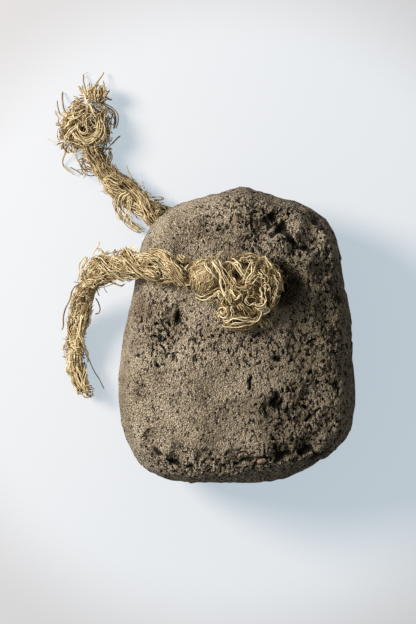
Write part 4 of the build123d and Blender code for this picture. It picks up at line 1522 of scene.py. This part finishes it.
KNOT_SURFACE = LobeSurface((
    ((4.0, 20.0, 60.6), 14.2, 8.6), ((-12.6, 24.0, 61.2), 7.6, 7.2),
    ((2.4, 10.4, 58.6), 8.6, 5.4), ((10.6, 22.4, 60.2), 8.2, 7.8)), 56.0, knot_dents(
    (246, 263, 1.8, 3.0), (238, 276, 1.9, 4.5), (247, 286.5, 1.6, 3.0), (249, 305, 3.0, 5.0),
    (266, 295, 2.0, 4.0), (269.5, 286, 1.7, 3.0), (236, 312, 1.8, 3.5), (241, 321, 1.5, 3.0),
    (226, 287, 1.2, 2.5), (231, 267, 1.3, 1.8), (213, 290, 1.2, 2.0), (258, 290, 1.6, 2.5)))
BALL_SURFACE = LobeSurface((
    ((-64.2, 89.0, 7.2), 9.5, 6.4), ((-59.4, 102.4, 6.0), 4.4, 4.6), ((-71.4, 84.5, 5.5), 3.4, 4.0),
    ((-56.6, 83.8, 6.0), 3.6, 4.4), ((-61.4, 74.6, 5.4), 6.2, 4.2)), 1.0, (
    (-64.6, 86.6, 2.0, 6.0), (-60.4, 94.8, 1.4, 4.0), (-59.8, 89.6, 1.2, 3.0), (-68.4, 88.2, 1.2, 3.0),
    (-62.6, 103.0, 1.2, 3.0), (-55.6, 91.0, 1.4, 3.5)))


def frayed_knot(material: Material) -> Piece:
    """Make the opened plies over the hole: a heart tinted near black as painted shade, wrapped fibres, curls
    and loose strands.
    """
    rng = np.random.default_rng(41)
    made = FibreBundle()
    # Painted shade: the heart's fibres are tinted near black
    for lobe, count in ((0, 66), (1, 34), (2, 30), (3, 30)):
        for axis in ((1.0, 0.2, 0.0), (0.2, 1.0, 0.1)):
            made.grow(rng, KNOT_SURFACE.wraps(lobe, axis, count, rng, (0.5, 0.78), 0.4, 0.5, 10),
                      (0.35, 0.55), Tint(0.0, 0.08, even=True))
    made.grow(rng, KNOT_SURFACE.wraps(1, (0.45, 1.0, 0.0), 420, rng, (0.80, 1.0), 0.6, 0.6, 12),
              (0.08, 0.16), Tint(0.30, 0.95, even=True))
    for lobe, axis, count in ((0, (0.45, -1.0, 0.0), 220), (0, (1.0, 0.5, 0.0), 90),
                              (2, (1.0, -0.15, 0.0), 130), (3, (-0.2, 1.0, 0.0), 200),
                              (3, (1.0, 0.9, 0.0), 40)):
        made.grow(rng, KNOT_SURFACE.wraps(lobe, axis, count, rng, (0.76, 0.96), 0.6, 0.9, 13),
                  (0.10, 0.20), Tint(1.0, 1.9, 0.8))
    for lobe, count in ((0, 200), (2, 96), (3, 80)):
        base, outward, along = KNOT_SURFACE.sample(lobe, count, rng, (0.82, 0.97))
        lines = curls(base, outward, along, (0.7, 2.8), (1.2, 4.0), rng, 11, 0.4)
        made.grow(rng, KNOT_SURFACE.sunk(lines), (0.10, 0.19), Tint(1.5, 1.4))
    add_strands(made, KNOT_STRANDS, KNOT_SURFACE, KNOT_HEIGHT, rng)
    piece = made.build("frayed_knot_fibres", material)
    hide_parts("frayed_knot")
    return piece


def frayed_ball(material: Material) -> Piece:
    """Make the frayed end: loops and stubs of loose fibre in a low ball, with a flared tuft below it."""
    rng = np.random.default_rng(52)
    made = FibreBundle()
    # Painted shade: a heart of fibres tinted near black inside the ball
    for axis in ((1.0, 0.1, 0.0), (0.3, 1.0, 0.2), (0.2, 0.3, 1.0)):
        made.grow(rng, BALL_SURFACE.wraps(0, axis, 34, rng, (0.3, 0.66), 0.5, 0.8, 12),
                  (0.22, 0.36), Tint(0.0, 0.12, even=True))
    for axis, count in (((1.0, 0.15, 0.0), 60), ((0.25, 1.0, 0.0), 90), ((-0.6, 1.0, 0.3), 56)):
        made.grow(rng, BALL_SURFACE.wraps(0, axis, count, rng, (0.66, 1.04), 0.9, 1.6, 18),
                  (0.13, 0.24), Tint(1.2, 1.5, 0.9))
    for lobe, count, axis in ((1, 60, (0.2, 1.0, 0.0)), (2, 22, (0.2, 1.0, 0.0)), (3, 26, (0.5, 1.0, 0.0)),
                              (4, 34, (0.7, -1.0, 0.0)), (4, 12, (1.0, 0.4, 0.0))):
        made.grow(rng, BALL_SURFACE.wraps(lobe, axis, count, rng, (0.5, 1.05), 0.6, 0.9, 14),
                  (0.13, 0.23), Tint(1.2, 1.5, 0.9))
    base, outward, along = BALL_SURFACE.sample(0, 70, rng, (0.8, 1.15))
    made.grow(rng, curls(base, outward, along, (2.0, 5.6), (1.5, 3.6), rng, 12, 0.5),
              (0.14, 0.25), Tint(1.6, 1.5))
    for lobe, count in ((0, 40), (1, 26), (2, 16), (4, 20)):
        base, outward, along = BALL_SURFACE.sample(lobe, count, rng, (0.85, 1.0))
        made.grow(rng, stubs(base, outward, along, (1.5, 4.6), rng), (0.15, 0.26), Tint(0.1, 0.7, even=True))
    add_strands(made, BALL_STRANDS, BALL_SURFACE, BALL_HEIGHT, rng)
    piece = made.build("frayed_ball_fibres", material)
    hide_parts("frayed_ball")
    return piece


@dataclass
class Studio:
    """Pale floor, soft light low from the left, and the camera straight above.

    The lamp's angles are in degrees and its lengths in metres, as are the glow's two distances.
    """

    key_distance: float = 1.0
    key_turn: float = 157.0
    key_height: float = 37.0
    key_size: float = 0.36
    key_power: float = 15.2
    world_strength: float = 0.28
    paper: Triple = (0.456, 0.474, 0.503)
    paper_seen: Triple = (0.338, 0.284, 0.252)
    glow_seen: Triple = (0.43, 0.512, 0.572)
    glow_fade: Triple = (0.112, 0.162, 0.66)
    glow_right: float = 10.0
    hole_shade: float = 0.02
    half: float = 1500.0
    sky: Triple = (0.92, 0.96, 1.0)

    def floor(self) -> None:
        """Wide pale floor that keeps the soft shadow and shows near white to the camera.

        To the camera it is a warmer paper with a cool glow, which fades towards the corners and stays
        off under the weight, so that the hole is dark.
        """
        corners = self.half * np.array([(-1, -1, 0), (1, -1, 0), (1, 1, 0), (-1, 1, 0)])
        piece = mesh_object("studio_floor", corners, np.array([[0, 1, 2, 3]]), np.zeros((0, 3), int))
        maker = NodeMaker.new("floor_paper")
        seen = maker.node("LightPath").outputs["Is Camera Ray"]
        place = maker.place()
        # Painted light on the floor: the glow centres glow_right to the right of the middle and fades towards
        # the corners as painted darkening
        middle = ((PHOTO_CENTRE[0] + self.glow_right) * MM, PHOTO_CENTRE[1] * MM, 0.0)
        near, wide = (maker.node("VectorMath", {0: place, 1: point}, operation="DISTANCE").outputs["Value"]
                      for point in ((HOLE_X * MM, HOLE_Y * MM, 0.0), middle))
        # Painted shade: no glow within hole_shade of the hole, so the floor seen down the hole stays dark
        outside = maker.math("GREATER_THAN", near, self.hole_shade)
        start, end, least = self.glow_fade
        fade = maker.node("MapRange", {"Value": wide, "From Min": start, "From Max": end, "To Min": 1.0,
                                       "To Max": least}, interpolation_type="SMOOTHSTEP").outputs[0]
        lit, warm = (maker.node("BsdfDiffuse", {"Color": (*colour, 1.0)}).outputs[0]
                     for colour in (self.paper, self.paper_seen))
        glow = maker.node("Emission", {"Color": (*self.glow_seen, 1.0), "Strength": fade}).outputs[0]
        both = maker.node("AddShader", {0: warm, 1: glow}).outputs[0]
        shown = maker.math("MULTIPLY", seen, outside)
        shader = maker.node("MixShader", {0: shown, 1: lit, 2: both}).outputs[0]
        piece.data.materials.append(maker.finish(shader))

    def lights(self) -> None:
        """Key lamp low on the left and a little above, and an even world."""
        turn, height = math.radians(self.key_turn), math.radians(self.key_height)
        aim = Vector((math.cos(turn) * math.cos(height), math.sin(turn) * math.cos(height), math.sin(height)))
        lamp = bpy.data.lights.new("key", "AREA")
        lamp.shape = "DISK"
        lamp.size = self.key_size
        lamp.energy = self.key_power
        holder = bpy.data.objects.new("key", lamp)
        holder.location = aim * self.key_distance
        holder.rotation_euler = (-aim).to_track_quat("-Z", "Y").to_euler()
        bpy.context.scene.collection.objects.link(holder)
        world = bpy.data.worlds.new("studio")
        world.use_nodes = True
        backdrop = world.node_tree.nodes["Background"].inputs
        backdrop["Color"].default_value = (*self.sky, 1.0)
        backdrop["Strength"].default_value = self.world_strength
        bpy.context.scene.world = world

    def camera(self) -> None:
        """Camera straight above, framed as the photograph, with its long side the sensor's width."""
        data = bpy.data.cameras.new("overhead_camera")
        distance = CAMERA_HEIGHT - SCALE_HEIGHT
        data.sensor_width = 36.0
        data.lens = data.sensor_width * distance / (PHOTO_HEIGHT * PHOTO_MM_PER_PIXEL)
        holder = bpy.data.objects.new("overhead_camera", data)
        holder.location = (PHOTO_CENTRE[0] * MM, PHOTO_CENTRE[1] * MM, CAMERA_HEIGHT * MM)
        bpy.context.scene.collection.objects.link(holder)
        bpy.context.scene.camera = holder

    def build(self) -> None:
        """Set up the camera, the floor and the lights."""
        self.camera()
        self.floor()
        self.lights()
        bpy.context.scene.view_settings.view_transform = "Standard"


def build_ropes(material: Material) -> None:
    front = Rope("rope_front", route_line("front", FRONT_ROUTE), RopeLay(
        turns=((0.0, 0.0), (0.33, 1.25), (0.55, 1.7), (1.0, 2.2)),
        swell=((0.0, 1.2), (0.3, 1.2), (0.44, 1.12), (0.55, 0.8), (0.8, 0.83), (0.92, 0.8), (1.0, 0.5)),
        ply_offset=2.6, ply_radius=2.25, wander=0.9), seed=61, thin_from=0.95, paler=0.22)
    plies = front.plies(material)
    fuzz = front.fuzz(material, FRONT_STRANDS, curl_count=760, stub_count=110, height=FRONT_ROPE_HEIGHT)
    knot = frayed_knot(material)
    back = Rope("rope_back", route_line("back", BACK_ROUTE), RopeLay(
        turns=((0.0, 0.0), (0.4, 1.3), (0.75, 2.0), (1.0, 2.3)),
        swell=((0.0, 0.9), (0.4, 0.9), (0.55, 1.08), (0.68, 1.2), (0.79, 1.0), (0.86, 0.7), (0.93, 0.8),
               (1.0, 1.0)), wander=0.9), seed=71, thin_from=0.94)
    plies = back.plies(material)
    fuzz = back.fuzz(material, BACK_STRANDS, curl_count=420, stub_count=70, height=BACK_ROPE_HEIGHT)
    ball = frayed_ball(material)
    spine = np.linspace((ROPE_X, ROPE_Y, 56.0), (ROPE_X, ROPE_Y, BACK_END_Z), 37)
    Rope("rope_in_hole", spine, RopeLay(turns=((0.0, 0.0), (1.0, 1.2)), swell=(
        (0.0, 1.15), (0.3, 1.0), (1.0, 1.0))), seed=81, outer=90, inner=14).plies(material)


def dress_stones() -> None:
    """Give the frame's stones their finish."""
    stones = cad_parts["stones"]
    stones.data.materials.clear()
    stones.data.materials.append(StoneFinish().material())


def main() -> None:
    """Build the studio, the weight, the stones and the rope."""
    logging.basicConfig(level=logging.INFO, format="%(name)s: %(message)s")
    Studio().build()
    ClayBody().build()
    dress_stones()
    build_ropes(FibreFinish().material())


if __name__ == "__main__":
    main()
